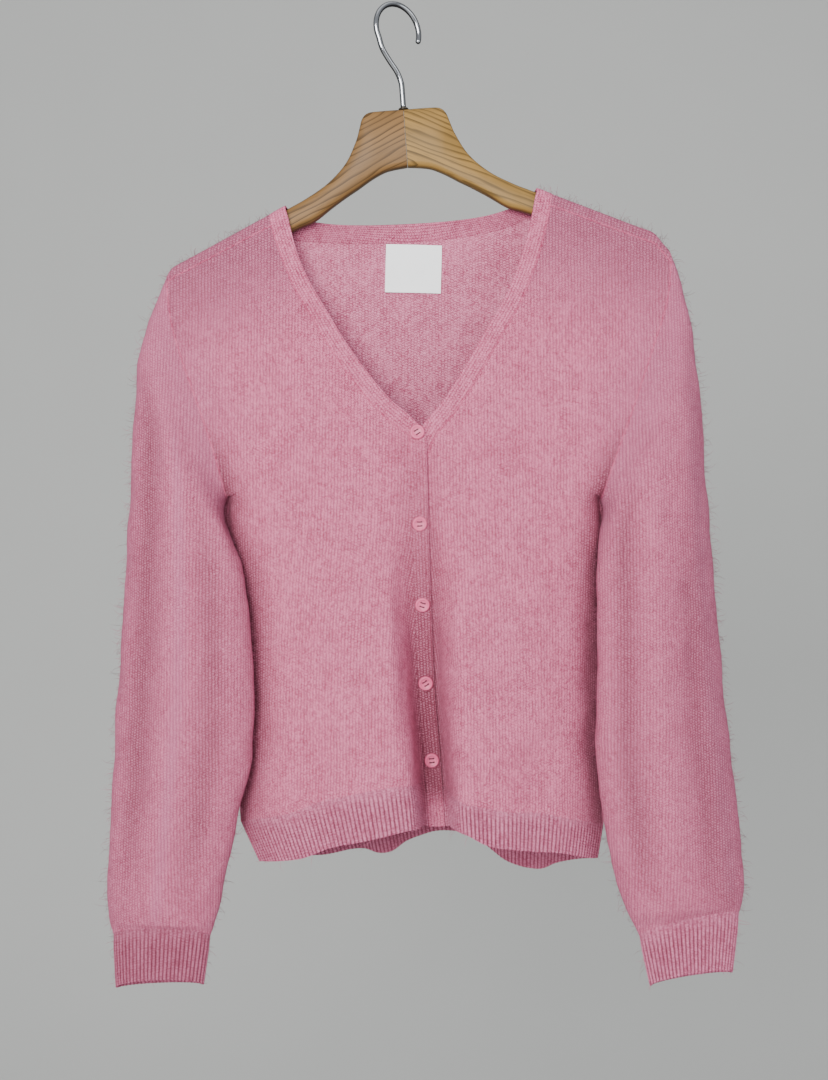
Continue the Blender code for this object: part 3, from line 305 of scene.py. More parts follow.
# The shoulder ridge, x against drop, from the neck seam to the tip.
RIDGE = {
    "right": Table("reach x drop",
                   (0, -78.0, 163.6), (1, -94.3, 172.7), (2, -192.6, 226.6), (3, -197.0, 232.0)),
    "left": Table("reach x drop",
                  (0, 101.5, 150.4), (1, 119.1, 157.1), (2, 222.6, 196.7), (3, 236.7, 212.5)),
}
NECK_EDGE_X = {"right": -95.5, "left": 121.8}
NECK_CURVE_IN = (0.0, 0.8, 2.6, 6.0)
NECK_EDGE_FALL = 0.75
NECK_SEAM_X = {"right": (-109.8, -109.5, -108.8, -107.5), "left": (136.0, 135.6, 134.8, 133.3)}

# The armhole, from the shoulder tip down to the underarm.
ARMHOLE = {
    "right": Table("below x front back",
                   (0, -197.0, 10.8, 10.8), (11.2, -197.4, 10.8, 10.8), (30, -196.0, 11.5, 11.5),
                   (52, -191.5, 13.5, 13.0), (90, -179.0, 16.5, 15.5), (132, -164.0, 18.5, 17.0),
                   (174, -151.0, 18.0, 17.0), (197, -146.2, 16.0, 16.0)),
    "left": Table("below x front back",
                  (0, 236.7, 10.8, 10.8), (11.2, 237.6, 10.8, 10.8), (30, 237.0, 11.5, 11.5),
                  (55, 231.0, 13.5, 13.0), (95, 218.0, 16.5, 15.5), (140, 203.0, 18.5, 17.0),
                  (188, 186.0, 18.0, 17.0), (216.5, 177.4, 16.0, 16.0)),
}
UNDERARM_ROUND = 25.0

# Where each row of a panel's stitches starts to count, so that the wales stay upright
FRONT_ANCHOR = {"right": -125.0, "left": 150.0}
BACK_ANCHOR = 20.0
SIDE_ROUND = 18.0
RIM_END_ROW = 15.0
LENS_POWER = 2.2
LENS_ROOT = 0.714
SLEEVE_FULLNESS = 0.8

# Where the ribs start and end on each front, from the side seam (0) to the band (1).
FRONT_HEM = {
    "right": Table("share top bottom",
                   (0, 708, 743), (0.14, 701, 738), (0.30, 694, 732), (0.46, 683, 721), (0.66, 675, 714.5),
                   (0.82, 670, 708), (0.90, 669, 706), (1.0, 675, 712)),
    "left": Table("share top bottom",
                  (0, 711, 740), (0.08, 707, 738), (0.22, 701, 730), (0.42, 694, 726.5), (0.63, 691, 722),
                  (0.80, 686, 716.5), (0.90, 683, 708), (1.0, 675, 712)),
}
BACK_HEM = Table("x top bottom",
                 (-135, 708, 743), (-80, 705, 744), (-45, 702, 741), (-20, 707, 747), (5, 694, 733),
                 (35, 685, 724), (60, 688, 727), (85, 704, 743), (105, 716, 755), (127, 719, 758),
                 (147, 711, 749), (181, 711, 740))

BACK_NECK = Table("x top y",
                  (-95.5, 173.8, 0.5), (-89, 180.0, 8.5), (-73, 184.7, 11.0), (-58, 186.0, 12.0),
                  (-32, 187.3, 13.0), (3, 186.4, 13.5), (45, 183.7, 13.5), (74, 179.8, 12.5),
                  (92, 175.5, 11.0), (108, 169.0, 9.5), (121.8, 158.8, 0.5))
BACK_NECK_SEAM = Table("x drop",
                       (-107.5, 193.4), (-99, 198.0), (-86, 201.0), (-58, 202.5), (-30, 203.3), (10, 202.2),
                       (45, 199.5), (75, 195.0), (98, 189.0), (117, 181.5), (133.3, 174.4))

# Soft vertical folds: forward ridges are positive and troughs negative. They rise between these shares of
# their length.
FOLD_STARTS = (-0.05, 0.6)
FRONT_FOLDS = (
    # top x, top drop, bottom x, bottom drop, half width, height
    (-120, 300, -88, 700, 22, 3.5),
    (-60, 380, -45, 712, 20, 4.0),
    (-92, 420, -68, 712, 12, -3.0),
    (-20, 430, -6, 700, 13, 3.0),
    (150, 330, 142, 715, 20, 3.5),
    (104, 380, 104, 712, 18, 3.5),
    (126, 430, 123, 712, 11, -3.0),
    (72, 400, 68, 700, 13, 3.0),
)
BACK_FOLDS = (
    (-100, 300, -104, 720, 22, 4.0),
    (-60, 260, -68, 735, 18, -4.0),
    (-30, 340, -22, 745, 20, 7.0),
    (15, 250, 34, 725, 24, -6.0),
    (70, 300, 76, 735, 16, 2.5),
    (110, 340, 118, 750, 22, 7.0),
    (150, 320, 152, 740, 18, -3.5),
)


def soft_step(low, high, value):
    share = np.clip((value - low) / (high - low), 0.0, 1.0)
    return share * share * (3.0 - 2.0 * share)


def lens(across):
    """Depth of a flat hanging tube across its width, from -1 to 1."""
    return (1.0 - min(abs(across), 1.0) ** LENS_POWER) ** LENS_ROOT


def folds(table, x, drop):
    """Sum of the soft folds at one place or many, each along its own slanted line."""
    height = 0.0
    for top_x, top, bottom_x, bottom, half_width, rise in table:
        share = (drop - top) / (bottom - top)
        centre = top_x + (bottom_x - top_x) * share
        height = height + rise * soft_step(*FOLD_STARTS, share) * np.exp(-((x - centre) / half_width) ** 2)
    return height


def ridge_drop(side, x):
    """Drop of the shoulder ridge at a place."""
    table = RIDGE[side]
    order = np.argsort(table.rows[:, 1])
    return float(np.interp(x, table.rows[order, 1], table.rows[order, 2]))


def roll_y(below):
    """Half depth of the shoulder roll at a height below its ridge."""
    lift = 1.0 - min(1.0, below / ROLL_DROPS[-1])
    return ROLL_DEPTH * (1.0 - lift ** 3) ** (1.0 / 3.0)


def underarm_rounding(side, below):
    """From 1 down to 0 where the armhole closes under the arm."""
    end = 1.0 - min(1.0, (ARMHOLE[side].rows[-1, 0] - below) / UNDERARM_ROUND)
    return math.sqrt(max(0.0, 1.0 - end * end))


def armhole_point(side, below, face):
    """A point of the armhole. Face is front or back."""
    table = ARMHOLE[side]
    depth = float(table.read(face, below)) * roll_y(below) / ROLL_DEPTH * underarm_rounding(side, below)
    sign = -1.0 if face == "front" else 1.0
    tip = RIDGE[side].rows[-1, 2]
    return np.array([float(table.read("x", below)), sign * depth, -(tip + below)])


def armhole_drops(side):
    """Heights below the shoulder tip of the armhole's points, finer towards the underarm."""
    length = ARMHOLE[side].rows[-1, 0]
    top = ROLL_DROPS[-1]
    rows = [top + (length - top) * math.sin(math.pi / 2.0 * i / ARM_ROWS) for i in range(ARM_ROWS + 1)]
    return list(ROLL_DROPS[:-1]) + rows


def armhole_loop(side):
    """The whole armhole from the ridge, down the front to the underarm and up the back."""
    drops = armhole_drops(side)
    front = [armhole_point(side, below, "front") for below in drops]
    back = [armhole_point(side, below, "back") for below in drops[-2:0:-1]]
    return front + back


def edge_x(side, drop):
    """Where the neck edge of a front band lies."""
    return float((RIGHT_EDGE if side == "right" else LEFT_EDGE).read("x", drop))


def band_station(side, drop):
    """Neck edge and seam of a front band, where the neck edge is at this drop. The band turns with it."""
    step = 3.0
    top = edge_x(side, drop - step)
    low = edge_x(side, drop + step)
    along = np.array([low - top, -2.0 * step])
    along /= np.linalg.norm(along)
    outward = np.array([along[1], -along[0]]) * (1.0 if side == "right" else -1.0)
    edge = np.array([edge_x(side, drop), -drop])
    return edge, edge + outward * BAND_WIDTH


# Drops of the bands' neck edges at the panels' rows, from the shoulder seam to the rib.
BAND_DROPS = {
    "right": (0, 214, 240, 266, 293, 320, 343, 358, 373, 392),
    "left": (0, 199, 226, 254, 281, 306, 328, 347, 366, 392),
}
RIB_TOP_DROP = 675.0
RIB_END_DROP = 712.0


def row_below(side, row):
    """Height below the shoulder tip where a row meets the armhole."""
    return float(np.interp(row, range(ARM_ROWS + 1), armhole_drops(side)[len(ROLL_DROPS) - 1:]))


def side_rim(side, row, face, drop):
    """How deep the body still is where it meets the sleeve, and how far that edge is closed."""
    below = row_below(side, min(row, ARM_ROWS))
    rim = float(ARMHOLE[side].read(face, below)) / float(DEPTH.read(face, drop))
    rim = min(1.0, rim) * (1.0 - soft_step(ARM_ROWS, RIM_END_ROW, row))
    closed = underarm_rounding(side, below) if row <= ARM_ROWS else 0.0
    return rim, closed


def side_closure(closed, distance):
    """The body's edge rounds in over a short way from its side seam."""
    near_side = 1.0 - min(1.0, abs(distance) / SIDE_ROUND)
    return closed + (1.0 - closed) * math.sqrt(1.0 - near_side * near_side)


def front_body_y(side, x, drop, row):
    """Outer face of the front at a place on a row."""
    right, left = row_sides(row)
    middle = (right[0] + left[0]) / 2.0
    half = (left[0] - right[0]) / 2.0
    own = right if side == "right" else left
    depth = float(DEPTH.read("front", drop))
    rim, closed = side_rim(side, row, "front", -own[2])
    y = -depth * (rim + (1.0 - rim) * lens((x - middle) / half)) * side_closure(closed, x - own[0])
    y -= folds(FRONT_FOLDS, x, drop) * lens((x - middle) / half)
    if row < ROLL_REACH:
        y += (-ROLL_DEPTH - y) * (1.0 - soft_step(0.0, ROLL_REACH, row))
    centre = edge_x("right", drop) - BAND_WIDTH / 2.0
    aside = abs(x - centre) - BAND_WIDTH / 2.0 - BAND_EDGE_EASE
    sink = float(OPENING.read("depth", drop))
    wall = float(OPENING.read("wall", drop))
    return y + sink * (1.0 - soft_step(0.0, wall, aside))


def underlap(side, drop, from_seam):
    """How far the left front and its band lie behind the right one."""
    if side == "right":
        return 0.0
    fade = soft_step(UNDERLAP_FADE[0], UNDERLAP_FADE[1], drop)
    return UNDERLAP * fade * (1.0 - soft_step(0.0, UNDERLAP_REACH, from_seam))


def row_sides(row):
    """The two side points of a row, on the armholes above the underarms and on the side seams below."""
    points = []
    for side in ("right", "left"):
        if row <= ARM_ROWS:
            points.append(armhole_point(side, row_below(side, row), "front"))
        else:
            top = -armhole_point(side, ARMHOLE[side].rows[-1, 0], "front")[2]
            low = float(FRONT_HEM[side].read("top", 0.0))
            end = float(FRONT_HEM[side].read("bottom", 0.0))
            if row <= ROWS:
                drop = top + (low - top) * (row - ARM_ROWS) / SIDE_ROWS
            else:
                drop = low + (end - low) * (row - ROWS)
            points.append(np.array([float(SIDE_SEAM.read(side, drop)), 0.0, -drop]))
    return points


def band_seam(side, row):
    """Neck edge and seam (x and z) of the front band at a row."""
    if row == 0:
        x = NECK_SEAM_X[side][-1]
        drop = ridge_drop(side, NECK_SEAM_X[side][0]) + ROLL_DROPS[-1]
        neck_x = NECK_EDGE_X[side]
        neck_drop = ridge_drop(side, neck_x) + ROLL_DROPS[-1]
        return np.array([edge_x(side, neck_drop), -neck_drop]), np.array([x, -drop])
    if row <= ARM_ROWS:
        return band_station(side, BAND_DROPS[side][row])
    if row <= ROWS:
        drop = BAND_DROPS[side][-1] + (RIB_TOP_DROP - BAND_DROPS[side][-1]) * (row - ARM_ROWS) / SIDE_ROWS
    else:
        drop = RIB_TOP_DROP + (RIB_END_DROP - RIB_TOP_DROP) * (row - ROWS)
    inner = edge_x("right", drop)
    if side == "right":
        return np.array([inner, -drop]), np.array([inner - BAND_WIDTH, -drop])
    inner += BAND_OVERLAY
    return np.array([inner - BAND_WIDTH, -drop]), np.array([inner, -drop])


def shoulder_rise(side, share):
    """How far the shoulder seam lies above the straight line between its ends."""
    ends = wing_point(side, 0, 0.0)[2] * (1.0 - share) + wing_point(side, 0, 1.0)[2] * share
    return wing_point(side, 0, share)[2] - ends


def front_point(side, share, row):
    """A point of a front, from its side (0) to its band seam (1)."""
    outer = row_sides(row)[side == "left"]
    seam = band_seam(side, row)[1]
    x = outer[0] + (seam[0] - outer[0]) * share
    z = outer[2] + (seam[1] - outer[2]) * share
    if row < SHOULDER_REACH:
        start = shoulder_rise(side, share)
        z += start * (1.0 - soft_step(0.0, SHOULDER_REACH, row))
    if row > ARM_ROWS:
        hem = FRONT_HEM[side]
        top = -float(hem.read("top", share))
        low = -float(hem.read("bottom", share))
        if row <= ROWS:
            straight = row_sides(ROWS)[side == "left"][2] * (1.0 - share) - RIB_TOP_DROP * share
            z += (top - straight) * (row - ARM_ROWS) / SIDE_ROWS
        else:
            z = top + (low - top) * (row - ROWS)
    y = front_body_y(side, x, -z, row)
    if share == 0.0:
        y = outer[1]
    return np.array([x, y + underlap(side, -z, abs(x - seam[0])), z])


def wing_point(side, step, share):
    """The shoulder over the wood, from the armhole (0) to the neck seam (1). Steps run front to back."""
    place = step - (len(ROLL_DROPS) - 1)
    below = ROLL_DROPS[abs(place)]
    arm = armhole_point(side, below, "front")
    tip = RIDGE[side].rows[-1, 1]
    neck = NECK_SEAM_X[side][abs(place)]
    x = arm[0] + (neck - arm[0]) * share
    at = tip + (NECK_SEAM_X[side][0] - tip) * share
    y = roll_y(below) * (-1.0 if place < 0 else 1.0)
    return np.array([x, y, -(ridge_drop(side, at) + below)])


def back_columns():
    """The top line of the back: one wing, the neck seam and the other wing."""
    last = 2 * (len(ROLL_DROPS) - 1)
    right = [wing_point("right", last, share) for share in FRONT_STEPS[:-1]]
    left = [wing_point("left", last, share) for share in FRONT_STEPS[-2::-1]]
    start = NECK_SEAM_X["right"][-1]
    end = NECK_SEAM_X["left"][-1]
    neck = []
    for i in range(NECK_COLUMNS + 1):
        share = i / NECK_COLUMNS
        x = start + (end - start) * (share - NECK_BUNCHING * math.sin(2.0 * math.pi * share))
        away = min(x - start, end - x)
        y = ROLL_DEPTH + NECK_FULLNESS * soft_step(0.0, NECK_FULLNESS_REACH, away)
        neck.append(np.array([x, y, -float(BACK_NECK_SEAM.read("drop", x))]))
    neck[0] = wing_point("right", last, 1.0)
    neck[-1] = wing_point("left", last, 1.0)
    return right + neck + left


def back_point(column, row, top_line):
    """A point of the back on a column and a row."""
    top = top_line[column]
    first = top_line[0]
    last = top_line[-1]
    right, left = row_sides(row)
    right_back, left_back = back_sides(row)
    share = (top[0] - first[0]) / (last[0] - first[0])
    eased = COLUMN_EASE + (1.0 - 2.0 * COLUMN_EASE) * column / (len(top_line) - 1)
    even = 0.5 - 0.5 * math.cos(math.pi * eased) / math.cos(math.pi * COLUMN_EASE)
    share += (even - share) * soft_step(0.0, ARM_ROWS, row)
    x = right[0] + (left[0] - right[0]) * share
    hem_x = SIDE_SEAM.read("right", 708) * (1.0 - share) + SIDE_SEAM.read("left", 711) * share
    rib_top = -float(BACK_HEM.read("top", hem_x))
    rib_end = -float(BACK_HEM.read("bottom", hem_x))
    side_top = (1.0 - share) * first[2] + share * last[2]
    side_low = (1.0 - share) * row_sides(ROWS)[0][2] + share * row_sides(ROWS)[1][2]
    side_here = (1.0 - share) * right[2] + share * left[2]
    if row <= ROWS:
        z = top[2] + (rib_top - top[2]) * (side_here - side_top) / (side_low - side_top)
    else:
        z = rib_top + (rib_end - rib_top) * (row - ROWS)
    drop = -z
    middle = (right[0] + left[0]) / 2.0
    across = (x - middle) / ((left[0] - right[0]) / 2.0)
    depth = float(DEPTH.read("back", drop))
    rim_right, closed_right = side_rim("right", row, "back", -right[2])
    rim_left, closed_left = side_rim("left", row, "back", -left[2])
    rim = rim_right + (rim_left - rim_right) * (across + 1.0) / 2.0
    y = depth * (rim + (1.0 - rim) * lens(across)) + folds(BACK_FOLDS, x, drop) * lens(across)
    y *= side_closure(closed_right, x - right[0]) * side_closure(closed_left, x - left[0])
    y += (top[1] - y) * (1.0 - soft_step(0.0, SHOULDER_REACH, row))
    if column == 0:
        return right_back.copy()
    if column == len(top_line) - 1:
        return left_back.copy()
    return np.array([x, y, z])


def back_sides(row):
    """The two side points of a row of the back."""
    points = []
    for place, side in enumerate(("right", "left")):
        point = row_sides(row)[place].copy()
        if row <= ARM_ROWS:
            point = armhole_point(side, row_below(side, row), "back")
        points.append(point)
    return points


# Sleeves, from the armhole (ring 0) to the wrist. Out is the outer outline and in the one by the body.
SLEEVE = {
    "right": Table("ring out_x out_drop in_x in_drop out_y in_y front back",
                   (0, -197, 232, -146, 429, 0, 0, 18, 17), (1, -206, 252, -149, 436, -1, -4, 19, 17),
                   (2, -216, 277, -148, 446, -2, -9, 20, 18), (3, -223, 306, -143.5, 457, -3, -14, 22, 19),
                   (4, -226, 346, -136, 473, -4, -19, 24, 20), (5, -229, 400, -129, 495, -5, -22, 25, 21),
                   (6, -232, 462, -123, 545, -6, -25, 26, 21), (7, -236, 533, -120.5, 598, -7, -26, 26, 21),
                   (8, -241, 608, -122.5, 646, -8, -25, 25, 20), (9, -245, 690, -133, 694, -10, -23, 23, 18),
                   (10, -248.5, 745, -144, 745, -10, -19, 21, 16),
                   (11, -248.5, 785, -153, 787, -10, -16, 18, 14),
                   (12, -243.5, 804, -159.5, 804, -10, -14, 13, 11),
                   (13, -241, 850, -165.5, 846, -10, -14, 12, 10)),
    "left": Table("ring out_x out_drop in_x in_drop out_y in_y front back",
                  (0, 236.7, 212.5, 177.4, 429, 0, 0, 18, 17), (1, 249, 246, 180, 436, -1, -4, 19, 17),
                  (2, 256, 279, 179, 446, -2, -9, 20, 18), (3, 261, 313, 176, 457, -3, -14, 22, 19),
                  (4, 265, 353, 173, 474, -4, -19, 24, 20), (5, 267.5, 400, 172, 497, -5, -22, 25, 21),
                  (6, 272, 462, 172, 545, -6, -25, 26, 21), (7, 278, 533, 171.5, 598, -7, -26, 26, 21),
                  (8, 285, 608, 170.5, 646, -8, -25, 25, 20), (9, 294, 688, 177, 698, -10, -23, 23, 18),
                  (10, 299.5, 742, 186.5, 747, -10, -19, 21, 16),
                  (11, 299.5, 771, 198, 781, -10, -16, 18, 14),
                  (12, 296, 786, 209.5, 804, -10, -14, 13, 11),
                  (13, 290, 837, 219, 847, -10, -14, 12, 10)),
}
RINGS = 12
RING_EASE = 2.0
ARMHOLE_SHARE = (1.0, 0.72, 0.5, 0.32, 0.18, 0.08, 0.0)
CUFF_ARCH = 9.0
SLEEVE_FOLDS = {
    # place across from the outer edge (0) to the inner edge (1), first ring, last ring, half width, height
    "right": ((0.42, 1.5, 11.5, 0.11, 4.0), (0.2, 2.5, 10.5, 0.08, -3.0), (0.72, 4.0, 11.0, 0.1, -2.5)),
    "left": ((0.5, 1.5, 11.5, 0.13, 3.5), (0.78, 2.5, 11.0, 0.09, -3.0), (0.25, 5.0, 11.5, 0.1, -2.5)),
}


def along_rings(first, last, ring):
    """From 0 up to 1 and back to 0 between two rings of a sleeve."""
    return soft_step(first, first + RING_EASE, ring) * (1.0 - soft_step(last - RING_EASE, last, ring))


def sleeve_ring(side, ring):
    """The closed ring of a sleeve, in the same order as the armhole."""
    loop = armhole_loop(side)
    if ring == 0:
        return loop
    table = SLEEVE[side]
    cell = {name: float(table.read(name, ring)) for name in table.columns}
    out = np.array([cell["out_x"], cell["out_y"], -cell["out_drop"]])
    inner = np.array([cell["in_x"], cell["in_y"], -cell["in_drop"]])
    kept = float(np.interp(ring, range(len(ARMHOLE_SHARE)), ARMHOLE_SHARE))
    top = loop[0]
    low = loop[RING_POINTS // 2]
    axis = low - top
    points = []
    for i, start in enumerate(loop):
        angle = 2.0 * math.pi * i / RING_POINTS
        own = float(np.dot(start - top, axis) / np.dot(axis, axis))
        bow = start - top - axis * own
        share = own * kept + (0.5 - 0.5 * math.cos(angle)) * (1.0 - kept)
        is_front = i <= RING_POINTS // 2
        depth = cell["front"] if is_front else cell["back"]
        round_y = depth * lens(2.0 * share - 1.0) ** SLEEVE_FULLNESS * (-1.0 if is_front else 1.0)
        if i in (0, RING_POINTS // 2):
            round_y = 0.0
        point = out + (inner - out) * share + bow * kept
        point[1] += round_y * (1.0 - kept)
        for place, first, last, width, rise in SLEEVE_FOLDS[side]:
            if ring > RINGS:
                continue
            height = rise * along_rings(first, last, ring) * math.exp(-((share - place) / width) ** 2)
            point[1] -= height if is_front else -0.6 * height
        if ring >= RINGS - 1 and is_front:
            point[2] += CUFF_ARCH * math.sin(angle) * min(1.0, ring - RINGS + 1.0)
        points.append(point)
    return points


def band_rows(side):
    """Seam, middle and neck edge of a front band, from the shoulder ridge down to the hem."""
    rows = []
    neck_x = NECK_EDGE_X[side]
    for step in range(len(ROLL_DROPS) - 1, 0, -1):
        seam = wing_point(side, step, 1.0)
        below = ROLL_DROPS[len(ROLL_DROPS) - 1 - step]
        edge = np.array([neck_x, -roll_y(below), -(ridge_drop(side, neck_x) + below)])
        rows.append((seam, edge))
    for row in range(ROWS + 2):
        edge, _ = band_seam(side, row)
        y = front_body_y(side, edge[0], -edge[1], row) + underlap(side, -edge[1], 0.0)
        rows.append((front_point(side, 1.0, row), np.array([edge[0], y, edge[1]])))
    return [(seam, (seam + edge) / 2.0, edge) for seam, edge in rows]


def neck_band_rows():
    """Seam, middle and upper edge of the back neck band, from the right ridge to the left one."""
    top_line = back_columns()
    wing = len(FRONT_STEPS) - 1
    neck = top_line[wing + 1:wing + NECK_COLUMNS]
    middle = len(ROLL_DROPS) - 1
    ends = {}
    for side in ("right", "left"):
        inward = 1.0 if side == "right" else -1.0
        pairs = []
        for place, shift in enumerate(NECK_CURVE_IN):
            seam = wing_point(side, middle + place, 1.0)
            x = NECK_EDGE_X[side] + inward * shift
            drop = ridge_drop(side, NECK_EDGE_X[side]) + ROLL_DROPS[place] * NECK_EDGE_FALL
            pairs.append((seam, np.array([x, roll_y(ROLL_DROPS[place]), -drop])))
        ends[side] = pairs
    rows = list(ends["right"])
    low = ends["right"][-1][1][0]
    high = ends["left"][-1][1][0]
    for place, seam in enumerate(neck):
        x = low + (high - low) * (place + 1) / NECK_COLUMNS
        rows.append((seam, np.array([x, seam[1], -float(BACK_NECK.read("top", x))])))
    rows += ends["left"][::-1]
    return [(seam, (seam + edge) / 2.0, edge) for seam, edge in rows]


# One wooden half: top and lower edge, x out from the middle and drop below the hook seat.
WOOD = Table("station top_x top_drop low_x low_drop half",
             (0, 0.17, 90, 0.17, 140, 6.5), (1, 20, 90, 12, 141.3, 6.5), (2, 31, 90.8, 20, 143, 6.5),
             (3, 36.5, 95.5, 28, 146.5, 6.5), (4, 39.5, 104, 36, 151, 6.5), (5, 43.5, 115, 44, 156, 6.5),
             (6, 53.5, 133, 54, 161.7, 6.5), (7, 70, 149, 68, 170.5, 6.5), (8, 90, 161, 84.5, 181.5, 6.5),
             (9, 107, 169, 101, 187.5, 6.5), (10, 150, 189, 145, 207.5, 6.5), (11, 190, 207.9, 186, 226, 6.5),
             (12, 201, 213.1, 198.5, 230, 6.2), (13, 206.5, 218.5, 205, 229, 4.2))


def tilt(x, y, drop):
    """From the hanger's own frame to the part's: the hanger hangs a little to one side."""
    z = -drop
    return np.array([x * math.cos(HANGER_TILT) - z * math.sin(HANGER_TILT), y,
                     x * math.sin(HANGER_TILT) + z * math.cos(HANGER_TILT)])


def wood_section(row, mirror):
    """A rounded section across one arm of the hanger."""
    _, top_x, top_drop, low_x, low_drop, half = row
    top = np.array([top_x, top_drop])
    low = np.array([low_x, low_drop])
    length = float(np.linalg.norm(low - top))
    edge = min(WOOD_EDGE, half * 0.7, length * 0.35)
    corners = ((1, edge), (1, length - edge), (-1, length - edge), (-1, edge))
    section = []
    for corner, (sign, along) in enumerate(corners):
        for part in range(3):
            angle = math.pi / 2.0 * (corner - 1 + part / 2.0)
            y = sign * (half - edge) + edge * math.cos(angle)
            down = along + edge * math.sin(angle)
            place = top + (low - top) * down / length
            section.append(tilt(mirror * place[0], y, place[1]))
    return section


def hook_route():
    """The wire's middle line in the hanger's frame: stem, bend and round loop, turned about the stem."""
    stem_foot = BLOCK_TOP - COLLAR_HEIGHT - 2.0 * REST_GAP
    line = [(0.0, stem_foot), (0.0, 76.0), (-0.4, 66.0), (-4.2, 57.0), (-11.0, 48.5), (-17.6, 38.8)]
    centre = LOOP_RADIUS - WIRE_RADIUS
    for degrees in range(204, -31, -12):
        angle = math.radians(degrees)
        line.append((LOOP_RADIUS * math.cos(angle), centre - LOOP_RADIUS * math.sin(angle)))
    return [tilt(u * math.cos(LOOP_TURN), u * math.sin(LOOP_TURN), drop) for u, drop in line]


def turned(profile, segments):
    """Points and faces of a solid turned about the Z axis. The profile starts and ends on it."""
    points = [(0.0, 0.0, profile[0][1]), (0.0, 0.0, profile[-1][1])]
    rings = profile[1:-1]
    for radius, height in rings:
        for i in range(segments):
            angle = 2.0 * math.pi * i / segments
            points.append((radius * math.cos(angle), radius * math.sin(angle), height))
    faces = []
    for i in range(segments):
        j = (i + 1) % segments
        faces.append((0, 2 + j, 2 + i))
        last = 2 + (len(rings) - 1) * segments
        faces.append((1, last + i, last + j))
        for ring in range(len(rings) - 1):
            base = 2 + ring * segments
            faces.append((base + i, base + j, base + segments + j, base + segments + i))
    return points, faces


def tube_faces(rings, sides, base=0):
    """Faces of a tube through rings of points, with both ends closed."""
    faces = [tuple(base + k for k in reversed(range(sides)))]
    for ring in range(rings - 1):
        a = base + ring * sides
        for k in range(sides):
            n = (k + 1) % sides
            faces.append((a + k, a + n, a + sides + n, a + sides + k))
    return faces + [tuple(base + (rings - 1) * sides + k for k in range(sides))]


def refine(net, parts, axis, closed=False, first=0, last=None):
    """A round surface through a net's points, with each span along one axis cut into equal parts.

    Spans before the first and after the last only shape the ends."""
    net = np.moveaxis(net, axis, 0)
    count = len(net)
    spans = count if closed else count - 1
    last = spans if last is None else last
    made = []
    for i in range(first, last):
        here = net[i]
        after = net[(i + 1) % count]
        before = net[i - 1] if closed or i > 0 else 2.0 * here - after
        beyond = net[(i + 2) % count] if closed or i + 2 < count else 2.0 * after - here
        for k in range(parts):
            made.append(hermite(k / parts, here, after, (after - before) / 2.0, (beyond - here) / 2.0))
    if not closed:
        made.append(net[last])
    return np.moveaxis(np.array(made), 0, axis)


def unit(vectors):
    return vectors / np.maximum(np.linalg.norm(vectors, axis=-1, keepdims=True), 1e-9)


class Cloth:
    """One knitted piece: the fine net of its outer face, with its directions and its lengths in stitches."""

    def __init__(self, name, net, closed=False, anchor=None):
        self.name = name
        self.net = net
        self.closed = closed
        self.down = np.gradient(net, axis=0)
        if closed:
            self.side = (np.roll(net, -1, 1) - np.roll(net, 1, 1)) / 2.0
        else:
            self.side = np.gradient(net, axis=1)
        self.normals = unit(np.cross(self.down, self.side))
        flat = net.copy()
        flat[:, :, 2] = 0.0
        ring = np.concatenate((flat, flat[:, :1]), 1) if closed else flat
        steps = np.linalg.norm(np.diff(ring, axis=1), axis=2)
        self.across = np.concatenate((np.zeros((len(net), 1)), np.cumsum(steps, 1)), 1)
        if anchor is not None:
            for row, line in enumerate(net):
                order = np.argsort(line[:, 0])
                self.across[row] += anchor - np.interp(anchor, line[order, 0], self.across[row][order])
        self.along = -net[:, :, 2]
        # Painted shade and painted sheen that the knit's colour takes, and how far the ribs stand
        self.hollow = np.zeros(net.shape[:2])
        self.bloom = np.zeros(net.shape[:2])
        self.ribbed = np.ones(net.shape[:2])

    def push(self, heights):
        """Move the outer face out by these heights."""
        self.net = self.net + self.normals * heights[:, :, None]

    def area(self):
        """Area in square metres."""
        return float(self.cell_areas().sum()) * MM * MM

    def cell_areas(self):
        net = np.concatenate((self.net, self.net[:, :1]), 1) if self.closed else self.net
        slant = net[1:, 1:] - net[:-1, :-1]
        other = net[1:, :-1] - net[:-1, 1:]
        return np.linalg.norm(np.cross(slant, other), axis=2) / 2.0

    def scatter(self, count, chance):
        """Random places on the piece, as points, normals, downward and sideways directions."""
        areas = self.cell_areas()
        edges = np.cumsum(areas.ravel())
        cells = np.searchsorted(edges, chance.random(count) * edges[-1])
        rows, columns = np.divmod(np.minimum(cells, areas.size - 1), areas.shape[1])
        u = chance.random((count, 1))
        v = chance.random((count, 1))
        beside = (columns + 1) % self.net.shape[1]

        def read(field):
            return ((field[rows, columns] * (1.0 - u) + field[rows, beside] * u) * (1.0 - v)
                    + (field[rows + 1, columns] * (1.0 - u) + field[rows + 1, beside] * u) * v)

        # The hairs take the cloth's painted shade and painted sheen
        tints = np.stack((self.hollow, self.bloom), 2)
        return (read(self.net), unit(read(self.normals)), unit(read(self.down)), unit(read(self.side)),
                read(tints))


def make_mesh(name, points, faces, paints, smooth=True):
    """A piece from points in millimetres, riding on the part's only body."""
    mesh = bpy.data.meshes.new(name)
    mesh.from_pydata(np.asarray(points, float) * MM, [], faces)
    for paint in paints:
        mesh.materials.append(paint)
    if smooth:
        mesh.shade_smooth()
    piece = bpy.data.objects.new(name, mesh)
    bpy.context.scene.collection.objects.link(piece)
    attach(piece, "root")
    return piece


def tint_mesh(mesh, **tints):
    """Give a mesh's points their painted shade, their painted sheen and how deep their ribs are."""
    for name, values in tints.items():
        field = mesh.attributes.new(name, "FLOAT", "POINT")
        field.data.foreach_set("value", np.asarray(values, np.float32).ravel())


